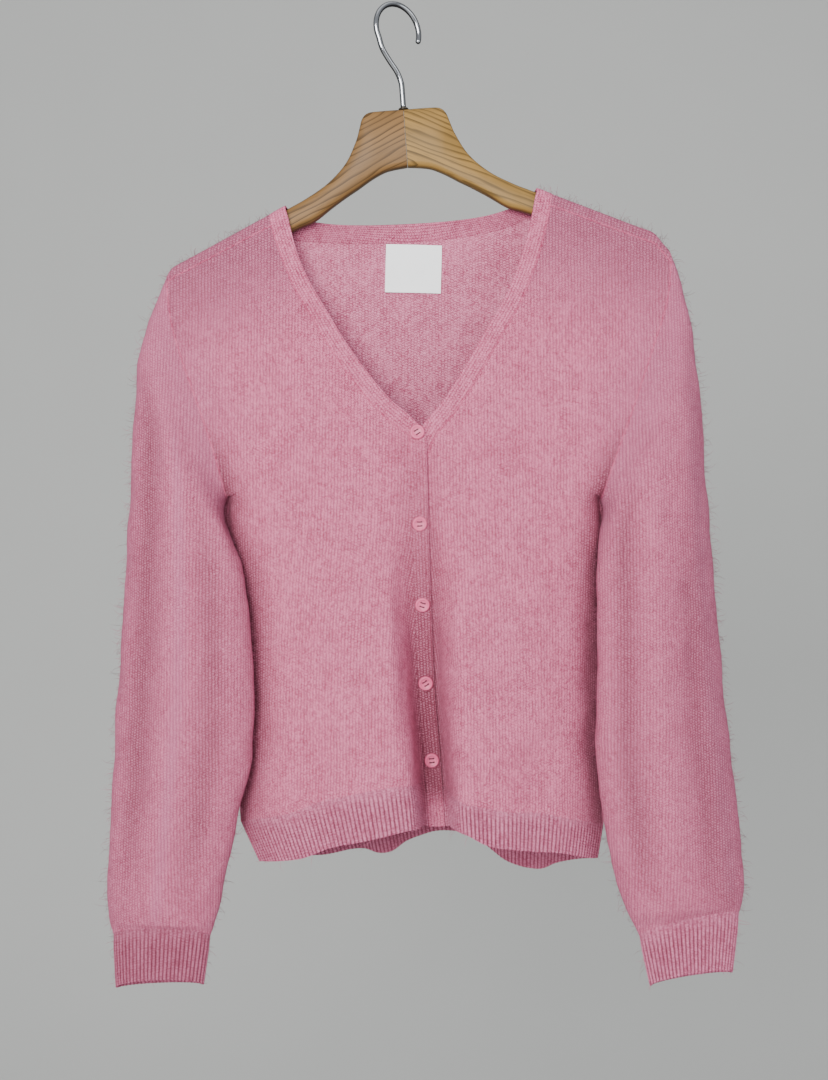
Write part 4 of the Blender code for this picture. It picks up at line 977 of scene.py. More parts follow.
def cloth_shell(name, cloths, paints, wall):
    """A closed shell from one or more nets that share edges, with its stitches' lengths as its map."""
    points = []
    faces = []
    maps = []
    insides = []
    total = 0
    for cloth in cloths:
        rows, columns = cloth.net.shape[:2]
        outer = cloth.net.reshape(-1, 3)
        inner = outer - cloth.normals.reshape(-1, 3) * wall
        points += [outer, inner]
        layer = rows * columns
        spans = columns if cloth.closed else columns - 1
        for row in range(rows - 1):
            for column in range(spans):
                beside = (column + 1) % columns
                a = total + row * columns + column
                b = total + row * columns + beside
                quad = (a, a + columns, b + columns, b)
                corners = ((row, column), (row + 1, column), (row + 1, column + 1), (row, column + 1))
                place = [(cloth.across[r, c] * MM, cloth.along[r, c % columns] * MM) for r, c in corners]
                faces.append(quad)
                maps.append(place)
                insides.append(False)
                faces.append(tuple(i + layer for i in reversed(quad)))
                maps.append(place[::-1])
                insides.append(True)
        edge = border(rows, columns, cloth.closed)
        for a, b in edge:
            spot = [(cloth.across[at] * MM, cloth.along[at] * MM) for at in (divmod(a, columns),
                                                                             divmod(b, columns))]
            faces.append((total + a, total + b, total + b + layer, total + a + layer))
            maps.append([spot[0], spot[1], spot[1], spot[0]])
            insides.append(False)
        total += 2 * layer
    piece = make_mesh(name, np.concatenate(points), faces, paints)
    mesh = piece.data
    stitches = mesh.uv_layers.new(name="stitches")
    stitches.data.foreach_set("uv", np.array([value for place in maps for pair in place for value in pair]))
    mesh.polygons.foreach_set("material_index", np.array(insides, int) * (len(paints) - 1))
    # Painted shade, painted sheen and rib depth for the knit's colour
    tint_mesh(mesh, **{name: np.concatenate([np.tile(getattr(cloth, name).ravel(), 2) for cloth in cloths])
                       for name in ("hollow", "bloom", "ribbed")})
    mesh.set_sharp_from_angle(angle=EDGE_ANGLE)
    return piece


def border(rows, columns, closed):
    """The edge of a net, as pairs of places in it that run against its faces."""
    last = (rows - 1) * columns
    spans = columns if closed else columns - 1
    top = [(c, (c + 1) % columns) for c in range(spans)]
    bottom = [(last + (c + 1) % columns, last + c) for c in range(spans)]
    sides = []
    if not closed:
        sides = [((r + 1) * columns, r * columns) for r in range(rows - 1)]
        sides += [(r * columns + columns - 1, (r + 1) * columns + columns - 1) for r in range(rows - 1)]
    return top + bottom + sides


def panel_nets():
    """The panels' own nets, from which every knitted piece is refined."""
    nets = {}
    for side in ("right", "left"):
        rows = [[front_point(side, share, row) for share in FRONT_STEPS] for row in range(ROWS + 1)]
        roll = [wing_point(side, 1, share) for share in FRONT_STEPS]
        nets["front_" + side] = np.array([roll] + rows)
    top_line = back_columns()
    count = len(top_line)
    body = [[back_point(column, row, top_line) for column in range(count)] for row in range(ROWS + 1)]
    body[0] = top_line
    nets["back"] = np.array(body)
    for side in ("right", "left"):
        rings = [sleeve_ring(side, ring) for ring in range(RINGS + 1)]
        nets["sleeve_" + side] = np.array(rings)
    return nets


def soft_relief(cloth):
    """The shallow lumps of a brushed knit, a few waves laid over each other."""
    chance = np.random.default_rng(LUMP_SEED)
    relief = np.zeros(cloth.net.shape[:2])
    for _ in range(LUMP_WAVES):
        way = chance.normal(size=3)
        way /= np.linalg.norm(way)
        wave = chance.uniform(*LUMP_SPAN)
        start = chance.uniform(0.0, 6.28)
        relief += np.sin(cloth.net @ way * (2.0 * math.pi / wave) + start) * wave / LUMP_SPAN[1]
    return relief * LUMP_HEIGHT / 3.0 * edge_fade(cloth)


def edge_fade(cloth):
    """0 on the edges of a net and 1 a few steps inside it."""
    rows, columns = cloth.net.shape[:2]
    row = np.minimum(np.arange(rows), np.arange(rows)[::-1])
    fade = np.clip(row / EDGE_STEPS, 0.0, 1.0)[:, None] * np.ones(columns)
    if not cloth.closed:
        column = np.minimum(np.arange(columns), np.arange(columns)[::-1])
        fade = fade * np.clip(column / EDGE_STEPS, 0.0, 1.0)[None]
    return fade


def placket_shade(x, drop):
    """Painted shade in the hollow of the front opening, at some places."""
    centre = RIGHT_EDGE.read("x", drop) - BAND_WIDTH / 2.0
    aside = np.abs(x - centre) - BAND_WIDTH / 2.0
    depth = np.sqrt(np.clip(OPENING.read("depth", drop) / PLACKET_SHADE_DEPTH, 0.0, 1.0))
    wall = OPENING.read("wall", drop)
    end = 1.0 - soft_step(PLACKET_SHADE_END[0], PLACKET_SHADE_END[1], drop)
    return depth * end * (1.0 - soft_step(0.0, PLACKET_SHARE, aside / wall))


def crease_shade_and_sheen(side, net):
    """Painted shade in the deep crease where the body goes in behind its sleeve, placed where the sleeve's
    edge is seen from the camera, and painted sheen beside the armhole above it.
    """
    drop = -net[:, :, 2]
    sleeve = SLEEVE[side]
    names = sleeve.columns
    rings = sleeve.rows
    edge = np.interp(drop, rings[:, names.index("in_drop")], rings[:, names.index("in_x")])
    edge_y = np.interp(drop, rings[:, names.index("in_drop")], rings[:, names.index("in_y")])
    eye_x, eye_y, _ = CAMERA_PLACE
    seen = eye_x + (edge - eye_x) * (net[:, :, 1] - eye_y) / (edge_y - eye_y)
    tip = RIDGE[side].rows[-1, 2]
    armhole = ARMHOLE[side].rows
    joined = np.interp(drop - tip, armhole[:, 0], armhole[:, 1])
    line = np.where(drop < tip + armhole[-1, 0], joined, seen)
    inward = np.maximum((net[:, :, 0] - line) * (1.0 if side == "right" else -1.0), 0.0)
    strength = soft_step(*CREASE_DROPS, drop)
    haze = ARMHOLE_PAINTED_SHEEN * (1.0 - strength) * np.exp(-(inward / ARMHOLE_PAINTED_SHEEN_WIDTH) ** 2)
    return strength * np.exp(-(inward / CREASE_WIDTH) ** 2), haze


def front_cloth(side, nets):
    """One front, with painted shade in its hollows, creases and fold troughs, and painted sheen and shade on
    the shoulder.
    """
    net = nets["front_" + side]
    if side == "left":
        net = net[:, ::-1]
    net = refine(refine(net, SPAN_PARTS, 0, first=1), SPAN_PARTS, 1)
    cloth = Cloth("front_" + side, net, anchor=FRONT_ANCHOR[side])
    x = net[:, :, 0]
    drop = -net[:, :, 2]
    crease, haze = crease_shade_and_sheen(side, net)
    tint = np.maximum(placket_shade(x, drop), crease)
    cloth.hollow = np.maximum(tint, np.clip(-folds(FRONT_FOLDS, x, drop), 0.0, FOLD_FULL) * FOLD_TROUGH_SHADE)
    ridge = RIDGE[side].rows
    order = np.argsort(ridge[:, 1])
    below = drop - np.interp(x, ridge[order, 1], ridge[order, 2])
    near = 1.0 - soft_step(0.0, SHOULDER_PAINTED_LIGHT_DROP, below)
    cloth.bloom = np.maximum(SHOULDER_PAINTED_SHEEN * near, haze)
    cloth.hollow = np.maximum(cloth.hollow, np.maximum(SHOULDER_SHADE * near, haze * SLEEVE_SHADE))
    # The rows along the shoulder seam take painted shade for the dark linked seam
    cloth.hollow[1:SEAM_ROWS] = SEAM_SHADE
    return cloth


def gusset_cloth(side):
    """The short strip under the arm that closes the crease between the sleeve and the front, painted in full
    shade.
    """
    sleeve = SLEEVE[side]
    names = sleeve.columns
    rings = sleeve.rows
    outward = -1.0 if side == "right" else 1.0
    net = []
    for drop in np.linspace(*GUSSET_DROPS, GUSSET_ROWS):
        edge, edge_y = [np.interp(drop, rings[:, names.index("in_drop")], rings[:, names.index(name)])
                        for name in ("in_x", "in_y")]
        seam = float(SIDE_SEAM.read(side, drop))
        row = [np.array([edge + outward * GUSSET_TUCK, edge_y + GUSSET_TUCK, -drop]),
               np.array([(edge + seam) / 2.0, edge_y / 2.0 + 2.0, -drop]),
               np.array([seam - outward * GUSSET_TUCK, 1.0, -drop])]
        net.append(row if side == "right" else row[::-1])
    cloth = Cloth("gusset_" + side, refine(np.array(net), 4, 1))
    cloth.hollow[:] = 1.0
    return cloth


def back_cloths(nets):
    """The back below the shoulders, and its two wings over them."""
    body = nets["back"]
    count = len(FRONT_STEPS)
    last = 2 * (len(ROLL_DROPS) - 1)
    lead = 2.0 * body[0] - body[1]
    wings = []
    for side in ("right", "left"):
        steps = FRONT_STEPS if side == "right" else FRONT_STEPS[::-1]
        strip = np.array([[wing_point(side, step, share) for share in steps] for step in range(last + 1)])
        below = body[1:2, :count] if side == "right" else body[1:2, -count:]
        if side == "right":
            lead[:count] = strip[-2]
        else:
            lead[-count:] = strip[-2]
        wing = refine(refine(np.concatenate((strip, below)), WING_PARTS, 0, last=last), SPAN_PARTS, 1)
        wings.append(Cloth("wing_" + side, wing[::-1]))
        # The wings over the shoulders take painted sheen and painted shade
        wings[-1].bloom[:] = SHOULDER_PAINTED_SHEEN
        wings[-1].hollow[:] = SHOULDER_SHADE
    main = np.concatenate((lead[None], body))
    main = refine(refine(main, SPAN_PARTS, 0, first=1), BACK_PARTS, 1)
    return [Cloth("back", main[:, ::-1], anchor=BACK_ANCHOR)] + wings


def sleeve_cloth(side, nets):
    """One sleeve, with painted sheen on its ridges, and painted shade in its troughs, in the zones beside
    them and over the whole sleeve.
    """
    net = nets["sleeve_" + side]
    if side == "left":
        net = np.concatenate((net[:, :1], net[:, :0:-1]), 1)
    net = refine(refine(net, SLEEVE_ROW_PARTS, 0), SLEEVE_PARTS, 1, closed=True)
    cloth = Cloth("sleeve_" + side, net, closed=True)
    rows, columns = net.shape[:2]
    middle = columns // 4 if side == "right" else 3 * columns // 4
    cloth.across += (net[:, middle, 0] - cloth.across[:, middle])[:, None]
    ring = (np.arange(rows) / (rows - 1.0) * RINGS)[:, None]
    across = (0.5 - 0.5 * np.cos(2.0 * math.pi * np.arange(columns) / columns))[None]

    def stripes(table, scale=1.0):
        """Where each row of a table tints the sleeve."""
        return [np.clip(strength * scale, 0.0, 1.0) * along_rings(first, last, ring)
                * np.exp(-((across - place) / width) ** 2) for place, first, last, width, strength in table]

    # Painted shade in the folds' troughs and the zones beside them, painted sheen on the ridges, and the
    # shoulder's painted sheen at the top
    cloth.hollow = np.clip(sum(stripes(SLEEVE_FOLDS[side], -SLEEVE_TROUGH_SHADE)), 0.0, 1.0)
    cloth.bloom = np.clip(sum(stripes(SLEEVE_PAINTED_SHEEN[side])), 0.0, 1.0)
    for deep in stripes(SLEEVE_PAINTED_SHADE[side]):
        cloth.hollow = cloth.hollow + (1.0 - cloth.hollow) * deep
    shade = SLEEVE_SHADE * (1.0 - cloth.bloom * 0.8)
    cloth.hollow = cloth.hollow * (1.0 - shade) + shade
    top = 1.0 - soft_step(SLEEVE_TOP_RINGS[0], SLEEVE_TOP_RINGS[1], ring)
    cloth.bloom = np.maximum(cloth.bloom, SLEEVE_PAINTED_SHEEN_BASE + (SHOULDER_PAINTED_SHEEN - SLEEVE_PAINTED_SHEEN_BASE) * top)
    return cloth


def even_columns(net, count, closed=False):
    """Spread a net's columns evenly along its middle row."""
    ring = np.concatenate((net, net[:, :1]), 1) if closed else net
    middle = ring[len(ring) // 2]
    length = np.concatenate(([0.0], np.cumsum(np.linalg.norm(np.diff(middle, axis=0), axis=1))))
    at = np.linspace(0.0, length[-1], count + 1)
    if closed:
        at = at[:-1]
    spread = [[np.interp(at, length, row[:, axis]) for axis in range(3)] for row in ring]
    return np.array(spread).transpose(0, 2, 1)


def rib_cloth(name, top, bottom, pitch, closed=False):
    """A strip of one by one rib between two lines. Its ridges stand out and fade into the plain knit."""
    shares = np.linspace(0.0, 1.0, RIB_PARTS + 1)[:, None, None]
    net = np.array(top)[None] * (1.0 - shares) + np.array(bottom)[None] * shares
    net = refine(net, SPAN_PARTS, 1, closed)
    middle = net[RIB_PARTS // 2]
    ring = np.concatenate((middle, middle[:1])) if closed else middle
    girth = float(np.linalg.norm(np.diff(ring, axis=0), axis=1).sum())
    ribs = int(round(girth / pitch))
    net = even_columns(net, ribs * RIB_STEPS, closed)
    cloth = Cloth(name, net, closed)
    phase = np.arange(net.shape[1]) / RIB_STEPS
    ridge = np.sin(math.pi * (phase % 1.0)) ** 0.8
    keys = (0, 1, 2, 4, RIB_PARTS - 1, RIB_PARTS)
    rise = np.interp(np.arange(RIB_PARTS + 1), keys, (0.0, 0.2, 0.6, 1.0, 1.0, 0.75))
    cloth.push(rise[:, None] * ridge[None, :] * RIB_HEIGHT)
    cloth.ribbed = rise[:, None] * np.ones(net.shape[1])
    cloth.across = np.tile(np.arange(net.shape[1] + 1) / RIB_STEPS * RIB_PITCH, (RIB_PARTS + 1, 1))
    cloth.normals = unit(np.cross(np.gradient(cloth.net, axis=0), cloth.side))
    return cloth


def hem_cloths():
    """The three hem ribs: the one under the back and the two under the fronts."""
    top_line = back_columns()
    count = len(top_line)
    cloths = []
    for side in ("right", "left"):
        shares = FRONT_STEPS if side == "right" else FRONT_STEPS[::-1]
        top, bottom = [[front_point(side, share, row) for share in shares] for row in (ROWS, ROWS + 1)]
        cloth = rib_cloth("hem_front_" + side, top, bottom, RIB_PITCH)
        # Painted shade at the hem's side corner and in the front opening
        inward = np.abs(cloth.net[:, :, 0] - float(SIDE_SEAM.read(side, FRONT_HEM[side].rows[0, 1])))
        corner = HEM_CORNER_SHADE * np.exp(-(inward / HEM_CORNER_WIDTH) ** 2)
        cloth.hollow = np.maximum(corner, placket_shade(cloth.net[:, :, 0], -cloth.net[:, :, 2]))
        cloths.append(cloth)
    top, bottom = [[back_point(column, row, top_line) for column in range(count - 1, -1, -1)]
                   for row in (ROWS, ROWS + 1)]
    cloths.append(rib_cloth("hem_back", top, bottom, RIB_PITCH))
    # The back hem, seen inside the fronts, takes painted shade
    cloths[-1].hollow[:] = BACK_HEM_SHADE
    return cloths


def cuff_cloth(side):
    """The rib that closes a sleeve."""
    rings = [sleeve_ring(side, ring) for ring in (RINGS, RINGS + 1)]
    if side == "left":
        rings = [[ring[0]] + ring[:0:-1] for ring in rings]
    cloth = rib_cloth("cuff_" + side, rings[0], rings[1], CUFF_PITCH, closed=True)
    # Painted shade: the right cuff is darker than the left
    cloth.hollow[:] = CUFF_SHADE[side]
    return cloth


def band_cloth(name, rows, crown):
    """A narrow double band with a rounded face."""
    net = refine(refine(np.array(rows), BAND_PARTS, 0), BAND_PARTS, 1)
    cloth = Cloth(name, net)
    lies = name == "back_neck_band"
    lines = net.transpose(1, 0, 2) if lies else net
    place = np.linspace(-1.0, 1.0, lines.shape[1])
    rise = np.tile(crown * (1.0 - place ** 4), (len(lines), 1))
    cloth.push(rise.T if lies else rise)
    across = (place[None] + 1.0) / 2.0 * np.linalg.norm(lines[:, -1] - lines[:, 0], axis=1)[:, None]
    steps = np.linalg.norm(np.diff(lines[:, lines.shape[1] // 2], axis=0), axis=1)
    along = np.tile(np.concatenate(([0.0], np.cumsum(steps)))[:, None], (1, lines.shape[1]))
    cloth.across, cloth.along = (across.T, along.T) if lies else (across, along)
    # The neck band takes painted shade, and the front bands the painted shade of the opening
    if lies:
        cloth.hollow[:] = NECK_BAND_SHADE
    else:
        cloth.hollow = placket_shade(net[:, :, 0], -net[:, :, 2])
    return cloth


def band_cloths():
    """The buttonhole band, the button band and the back neck band."""
    right = band_cloth("buttonhole_band", band_rows("right"), BAND_CROWN)
    left = band_cloth("button_band", [row[::-1] for row in band_rows("left")], BAND_CROWN)
    rows = neck_band_rows()
    neck = band_cloth("back_neck_band", [[row[k] for row in rows][::-1] for k in (2, 1, 0)], 0.0)
    return [right, left, neck]


def seam_cord(name, lines, paint):
    """Linked stitches along seams: a fine cord with a bulge for each stitch."""
    points = []
    faces = []
    for line, normals in lines:
        length = np.concatenate(([0.0], np.cumsum(np.linalg.norm(np.diff(line, axis=0), axis=1))))
        count = int(length[-1] / SEAM_STITCH * SEAM_POINTS)
        at = np.linspace(0.0, length[-1], count + 1)
        path = np.array([np.interp(at, length, line[:, axis]) for axis in range(3)]).T
        up = unit(np.array([np.interp(at, length, normals[:, axis]) for axis in range(3)]).T)
        along = unit(np.gradient(path, axis=0))
        aside = unit(np.cross(along, up))
        beat = np.sin(np.arange(count + 1) * math.pi / SEAM_POINTS)
        swell = SEAM_THIN + (1.0 - SEAM_THIN) * np.abs(beat)
        sway = SEAM_SWAY * beat
        base = sum(len(block) for block in points)
        rings = []
        for k in range(SEAM_SIDES):
            angle = 2.0 * math.pi * k / SEAM_SIDES
            rings.append(path + aside * (sway + SEAM_RADIUS * math.cos(angle) * swell)[:, None]
                         + up * (SEAM_RADIUS * 0.8 * math.sin(angle) * swell + 0.1)[:, None])
        points.append(np.stack(rings, 1).reshape(-1, 3))
        faces += tube_faces(count + 1, SEAM_SIDES, base)
    return make_mesh(name, np.concatenate(points), faces, [paint])


def hairs(name, cloth, count, length, radius, lean, paint, seed, bent):
    """Loose fibres of the brushed yarn. Each rises from the cloth to a point, and long ones bend over."""
    chance = np.random.default_rng(seed)
    root, normal, down, side, tints = cloth.scatter(count, chance)
    turn = chance.uniform(-math.pi, math.pi, (count, 1))
    spread = side * np.sin(turn) + down * (np.cos(turn) * 0.8 + 0.45)
    size = length * (0.45 + chance.random((count, 1)) ** 2 * 1.1)
    lift = np.clip(chance.normal(lean, 0.25, (count, 1)), 0.08, 1.0)
    knee = root + size * 0.5 * unit(normal * lift + spread * 0.5)
    tip = knee + size * 0.5 * unit(normal * (lift * 0.5) + spread)
    root = root - normal * 0.5
    along = unit(tip - root)
    first = unit(np.cross(along, normal + side * 0.3))
    second = np.cross(along, first)
    points = []
    for place, thin in ((root, 1.0), (knee, 0.8))[:1 + bent]:
        for k in range(3):
            angle = 2.0 * math.pi * k / 3.0
            points.append(place + (first * math.cos(angle) + second * math.sin(angle)) * radius * thin)
    points.append(tip)
    corners = len(points)
    points = np.stack(points, 1).reshape(-1, 3)
    base = np.arange(count)[:, None] * corners
    pattern = [(2, 1, 0)]
    for k in range(3):
        n = (k + 1) % 3
        if bent:
            pattern += [(k, n, 3 + n), (k, 3 + n, 3 + k)]
        pattern.append((corners - 4 + k, corners - 4 + n, corners - 1))
    faces = (base[:, :, None] + np.array(pattern)[None]).reshape(-1, 3)
    piece = quick_mesh(name, points, faces, paint)
    piece.data.normals_split_custom_set_from_vertices(np.repeat(normal, corners, 0))
    # The hairs carry the painted shade and painted sheen of the cloth under them
    tint_mesh(piece.data, hollow=np.repeat(tints[:, 0], corners), bloom=np.repeat(tints[:, 1], corners))
    return piece


def quick_mesh(name, points, triangles, paint):
    """A mesh of many triangles, filled in whole arrays."""
    mesh = bpy.data.meshes.new(name)
    mesh.vertices.add(len(points))
    mesh.vertices.foreach_set("co", (points * MM).astype(np.float32).ravel())
    mesh.loops.add(triangles.size)
    mesh.loops.foreach_set("vertex_index", triangles.astype(np.int32).ravel())
    mesh.polygons.add(len(triangles))
    mesh.polygons.foreach_set("loop_start", np.arange(0, triangles.size, 3, dtype=np.int32))
    mesh.update(calc_edges=True)
    mesh.materials.append(paint)
    mesh.shade_smooth()
    piece = bpy.data.objects.new(name, mesh)
    bpy.context.scene.collection.objects.link(piece)
    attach(piece, "root")
    return piece


def dimmed(colour, share):
    return tuple(value * share for value in colour)


class Link:
    """One output of a material's node, so that shader maths reads as plain expressions."""

    def __init__(self, paint, socket):
        self.paint = paint
        self.socket = socket

    def maths(self, operation, *values):
        return self.paint.node("Math", {"operation": operation}, dict(enumerate(values)))

    def __add__(self, other):
        return self.maths("ADD", self, other)

    def __sub__(self, other):
        return self.maths("SUBTRACT", self, other)

    def __rsub__(self, other):
        return self.maths("SUBTRACT", other, self)

    def __mul__(self, other):
        return self.maths("MULTIPLY", self, other)

    def __truediv__(self, other):
        return self.maths("DIVIDE", self, other)

    def __abs__(self):
        return self.maths("ABSOLUTE", self)

    __radd__ = __add__
    __rmul__ = __mul__

    def whole_part_off(self):
        """What is left of a number after its whole part."""
        return self.maths("FRACT", self)

    def wave(self):
        """A sine of this many half turns."""
        return self.maths("SINE", self * math.pi)

    def clear(self, low, high):
        """From 0 at the low value to 1 at the high one."""
        return self.paint.node("MapRange", {"interpolation_type": "SMOOTHSTEP"},
                               {"Value": self, "From Min": low, "From Max": high})


class Paint:
    """A material being mixed."""

    def __init__(self, name, colour, roughness, **constants):
        self.material = bpy.data.materials.new(name)
        self.material.use_nodes = True
        self.material.diffuse_color = (*colour, 1.0)
        self.tree = self.material.node_tree
        self.shader = self.tree.nodes["Principled BSDF"]
        self.set(**{"Base Color": (*colour, 1.0), "Roughness": roughness}, **constants)

    def set(self, **sockets):
        for name, value in sockets.items():
            self.feed(self.shader.inputs[name.replace("_", " ")], value)

    def feed(self, socket, value):
        if isinstance(value, Link):
            self.tree.links.new(value.socket, socket)
        else:
            socket.default_value = value

    def node(self, kind, settings=None, sockets=None, output=0):
        """A node of a kind, with its settings made before its sockets are fed."""
        node = self.tree.nodes.new("ShaderNode" + kind)
        for name, value in (settings or {}).items():
            setattr(node, name, value)
        for name, value in (sockets or {}).items():
            self.feed(node.inputs[name], value)
        return Link(self, node.outputs[output])

    def part(self, vector, axis):
        """The X, Y or Z of a vector."""
        return self.node("SeparateXYZ", {}, {"Vector": vector}, output=axis)

    def tint(self, name):
        """A tint that the mesh carries."""
        return self.node("Attribute", {"attribute_name": name}, output="Fac")

    def mix(self, share, low, high):
        """A colour between two others."""
        low = low if isinstance(low, Link) else (*low, 1.0)
        high = high if isinstance(high, Link) else (*high, 1.0)
        return self.node("Mix", {"data_type": "RGBA"}, {0: share, 6: low, 7: high}, output=2)

    def noise(self, place, size, detail=2.0, roughness=0.5):
        """Soft random patches of about this size in millimetres, from 0 to 1."""
        return self.node("TexNoise", {}, {"Vector": place, "Scale": 1.0 / (size * MM), "Detail": detail,
                                          "Roughness": roughness})

    def place(self):
        return self.node("TexCoord", output="Object")

    def turned_away(self):
        """How far a face turns from the front or back: 0 there and 1 on the sides."""
        normal = self.node("TexCoord", output="Normal")
        return 1.0 - abs(self.part(normal, "Y"))

    def stretched(self, place, scale):
        return self.node("Mapping", {}, {"Vector": place, "Scale": scale})

    def bump(self, height, distance, strength):
        """Relief with heights from 0 to 1 over this distance in millimetres."""
        sockets = {"Height": height, "Distance": distance * MM, "Strength": strength}
        self.set(Normal=self.node("Bump", {}, sockets))


def heathered(paint, place, settings, shade):
    """The marled pinks of the yarn, patches of a few stitches and single light hairs, with painted sheen on
    the hazy ridges and painted shade in the hollows.
    """
    clouds = paint.noise(paint.stretched(place, (1.0, 1.0, 0.6)), 17.0, 3.0)
    patches = paint.noise(paint.stretched(place, (1.0, 1.0, 0.8)), 4.4, 3.0, 0.62)
    specks = paint.noise(place, 1.5, 2.0, 0.65)
    share = (clouds * 0.6 + patches * 1.5 + specks * 2.4 - 1.7).clear(0.0, 1.0)
    dark = tuple(np.multiply(settings.knit_dark, shade))
    light = tuple(np.multiply(settings.knit_light, shade))
    colour = paint.mix(share, dark, light)
    # Painted sheen: the hazy light on the brushed fuzz, where the mesh's tint asks for it
    colour = paint.mix(paint.tint("bloom") * (patches * 0.5 + 0.5), colour, settings.painted_sheen_colour)
    # Painted shade, darkening the colour where the mesh's tint asks for it
    return paint.mix(paint.tint("hollow") * 0.88, colour, settings.painted_shade_colour)


def knit_paint(name, settings, kind):
    """Brushed knit. Plain has its V stitches, purl its cross bars, and rib and band their long wales."""
    paint = Paint(name, settings.knit_light, 0.9, **{"Sheen Weight": 0.07, "Sheen Roughness": 0.5,
                                                     "Sheen Tint": (*settings.sheen_tint, 1.0),
                                                     "Specular IOR Level": 0.1})
    is_rib = kind == "rib"
    place = paint.place()
    parts = paint.node("UVMap")
    wobble = paint.noise(place, 4.5, 2.0)
    jitter = paint.noise(place, 2.1, 1.0)
    u = paint.part(parts, "X") / (PITCHES[kind] * MM) + (wobble - 0.5) * (RIB_SWAY if is_rib else WALE_SWAY)
    v = paint.part(parts, "Y") / (COURSE * MM) + (jitter - 0.5) * COURSE_SWAY
    part = u.whole_part_off()
    away = abs(part - 0.5)
    ridge = part.wave()
    v = v + (u - part) * 0.5
    if kind == "purl":
        bars = (v + ridge * 0.3).whole_part_off().wave()
        height = bars * 0.7 + ridge * 0.3
    else:
        stitch = (v + away * 0.9).whole_part_off().wave()
        pinholes = (1.0 - ridge) * (1.0 - stitch) * (wobble * 1.4 + jitter * 1.6 - 0.6)
        height = ridge * 0.14 + stitch * 0.3 + (1.0 - pinholes) * 0.56
    fluff = paint.noise(place, 1.6, 3.0, 0.65)
    haze = paint.noise(place, 21.0, 2.0).clear(0.4, 0.66)
    height = height * 0.8 + (fluff - 0.5) * 0.5 + 0.2
    colour = heathered(paint, place, settings, SHADES[kind])
    bloom = paint.tint("bloom")
    # Painted shade in the gaps between the stitches, less on hazy patches
    gap_shade = (1.0 - height).clear(0.16, 0.5) * (1.0 - haze * 0.4) * (1.0 - bloom * 0.25) * GAP_SHADE_SHARES[kind]
    if is_rib:
        ribbed = paint.tint("ribbed")
        # Painted shade in the grooves between the ribs
        groove_shade = away.clear(0.2, 0.48) * (fluff * 0.9 + 0.25) * ribbed
        gap_shade = gap_shade * (0.9 - ribbed * 0.3) + groove_shade
    colour = paint.mix(gap_shade * settings.gap_shade_share, colour, settings.gap_shade_colour)
    # Painted highlight on the stitches' crowns
    colour = paint.mix(height.clear(0.8, 1.08) * (0.25 if is_rib else 0.5), colour, settings.pale_fibre_and_highlight)
    paint.set(**{"Base Color": colour})
    paint.bump(height, 0.9, 0.85)
    return paint.material


def hair_paint(settings):
    paint = Paint("pink mohair fibre", settings.knit_light, 0.75,
                  **{"Sheen Weight": 0.07, "Sheen Roughness": 0.4, "Sheen Tint": (*settings.sheen_tint, 1.0),
                     "Specular IOR Level": 0.15})
    place = paint.place()
    colour = heathered(paint, place, settings, SHADES["hair"])
    pale = paint.noise(place, 0.7, 1.0).clear(0.5, 0.8)
    paint.set(**{"Base Color": paint.mix(pale * 0.3, colour, settings.pale_fibre_and_highlight)})
    return paint.material


def seam_paint(settings):
    paint = Paint("pink linking yarn", settings.knit_light, 0.85, **{"Specular IOR Level": 0.1})
    twist = paint.noise(paint.place(), 0.8, 2.0)
    colour = heathered(paint, paint.place(), settings, SHADES["band"])
    # Painted shade in the grooves of the yarn's twist, in the colour of the gaps' shade
    paint.set(**{"Base Color": paint.mix(twist.clear(0.55, 0.3) * 0.5, colour, settings.gap_shade_colour)})
    paint.bump(twist, 0.3, 0.7)
    return paint.material


def wood_paint(name, base, line):
    """Varnished wood with its grain along the arm, and painted shade on the edges that turn to the sides."""
    paint = Paint(name, base, 0.45, **{"Coat Weight": 0.05, "Coat Roughness": 0.3, "Specular IOR Level": 0.2})
    parts = paint.node("UVMap")
    drift = paint.noise(paint.stretched(parts, (0.1, 0.5, 1.0)), 9.0, 2.0)
    pores = paint.noise(paint.stretched(parts, (0.035, 1.0, 1.0)), 0.75, 2.0)
    clouds = paint.noise(paint.stretched(parts, (0.25, 1.0, 1.0)), 16.0, 2.0)
    ring = (paint.part(parts, "Y") / (GRAIN_PITCH * MM) + drift * 2.6).whole_part_off()
    bands = ring.clear(0.5, 0.93) * (1.0 - ring.clear(0.95, 1.0))
    colour = paint.mix(clouds.clear(0.3, 0.7), base, dimmed(base, 1.3))
    colour = paint.mix(bands * (clouds * 0.8 + 0.4), colour, line)
    colour = paint.mix(pores.clear(0.56, 0.72) * 0.45, colour, line)
    # Painted shade where the wood turns to the sides
    colour = paint.mix(paint.turned_away().clear(0.15, 0.75) * 0.7, colour, line)
    paint.set(**{"Base Color": colour, "Roughness": clouds * 0.2 + 0.36})
    paint.bump(pores * 0.5 + bands * 0.3, 0.15, 0.4)
    return paint.material


def wire_paint():
    bright = (0.42, 0.43, 0.45)
    paint = Paint("polished wire", bright, 0.14, Metallic=1.0)
    scuffs = paint.noise(paint.place(), 3.0, 4.0, 0.7)
    # Painted dark reflection on the sides that turn from the front and back
    painted_dark_reflection = paint.turned_away().clear(0.08, 0.5)
    paint.set(**{"Base Color": paint.mix(painted_dark_reflection, bright, (0.03, 0.03, 0.033)),
                 "Roughness": scuffs * 0.16 + 0.07})
    return paint.material


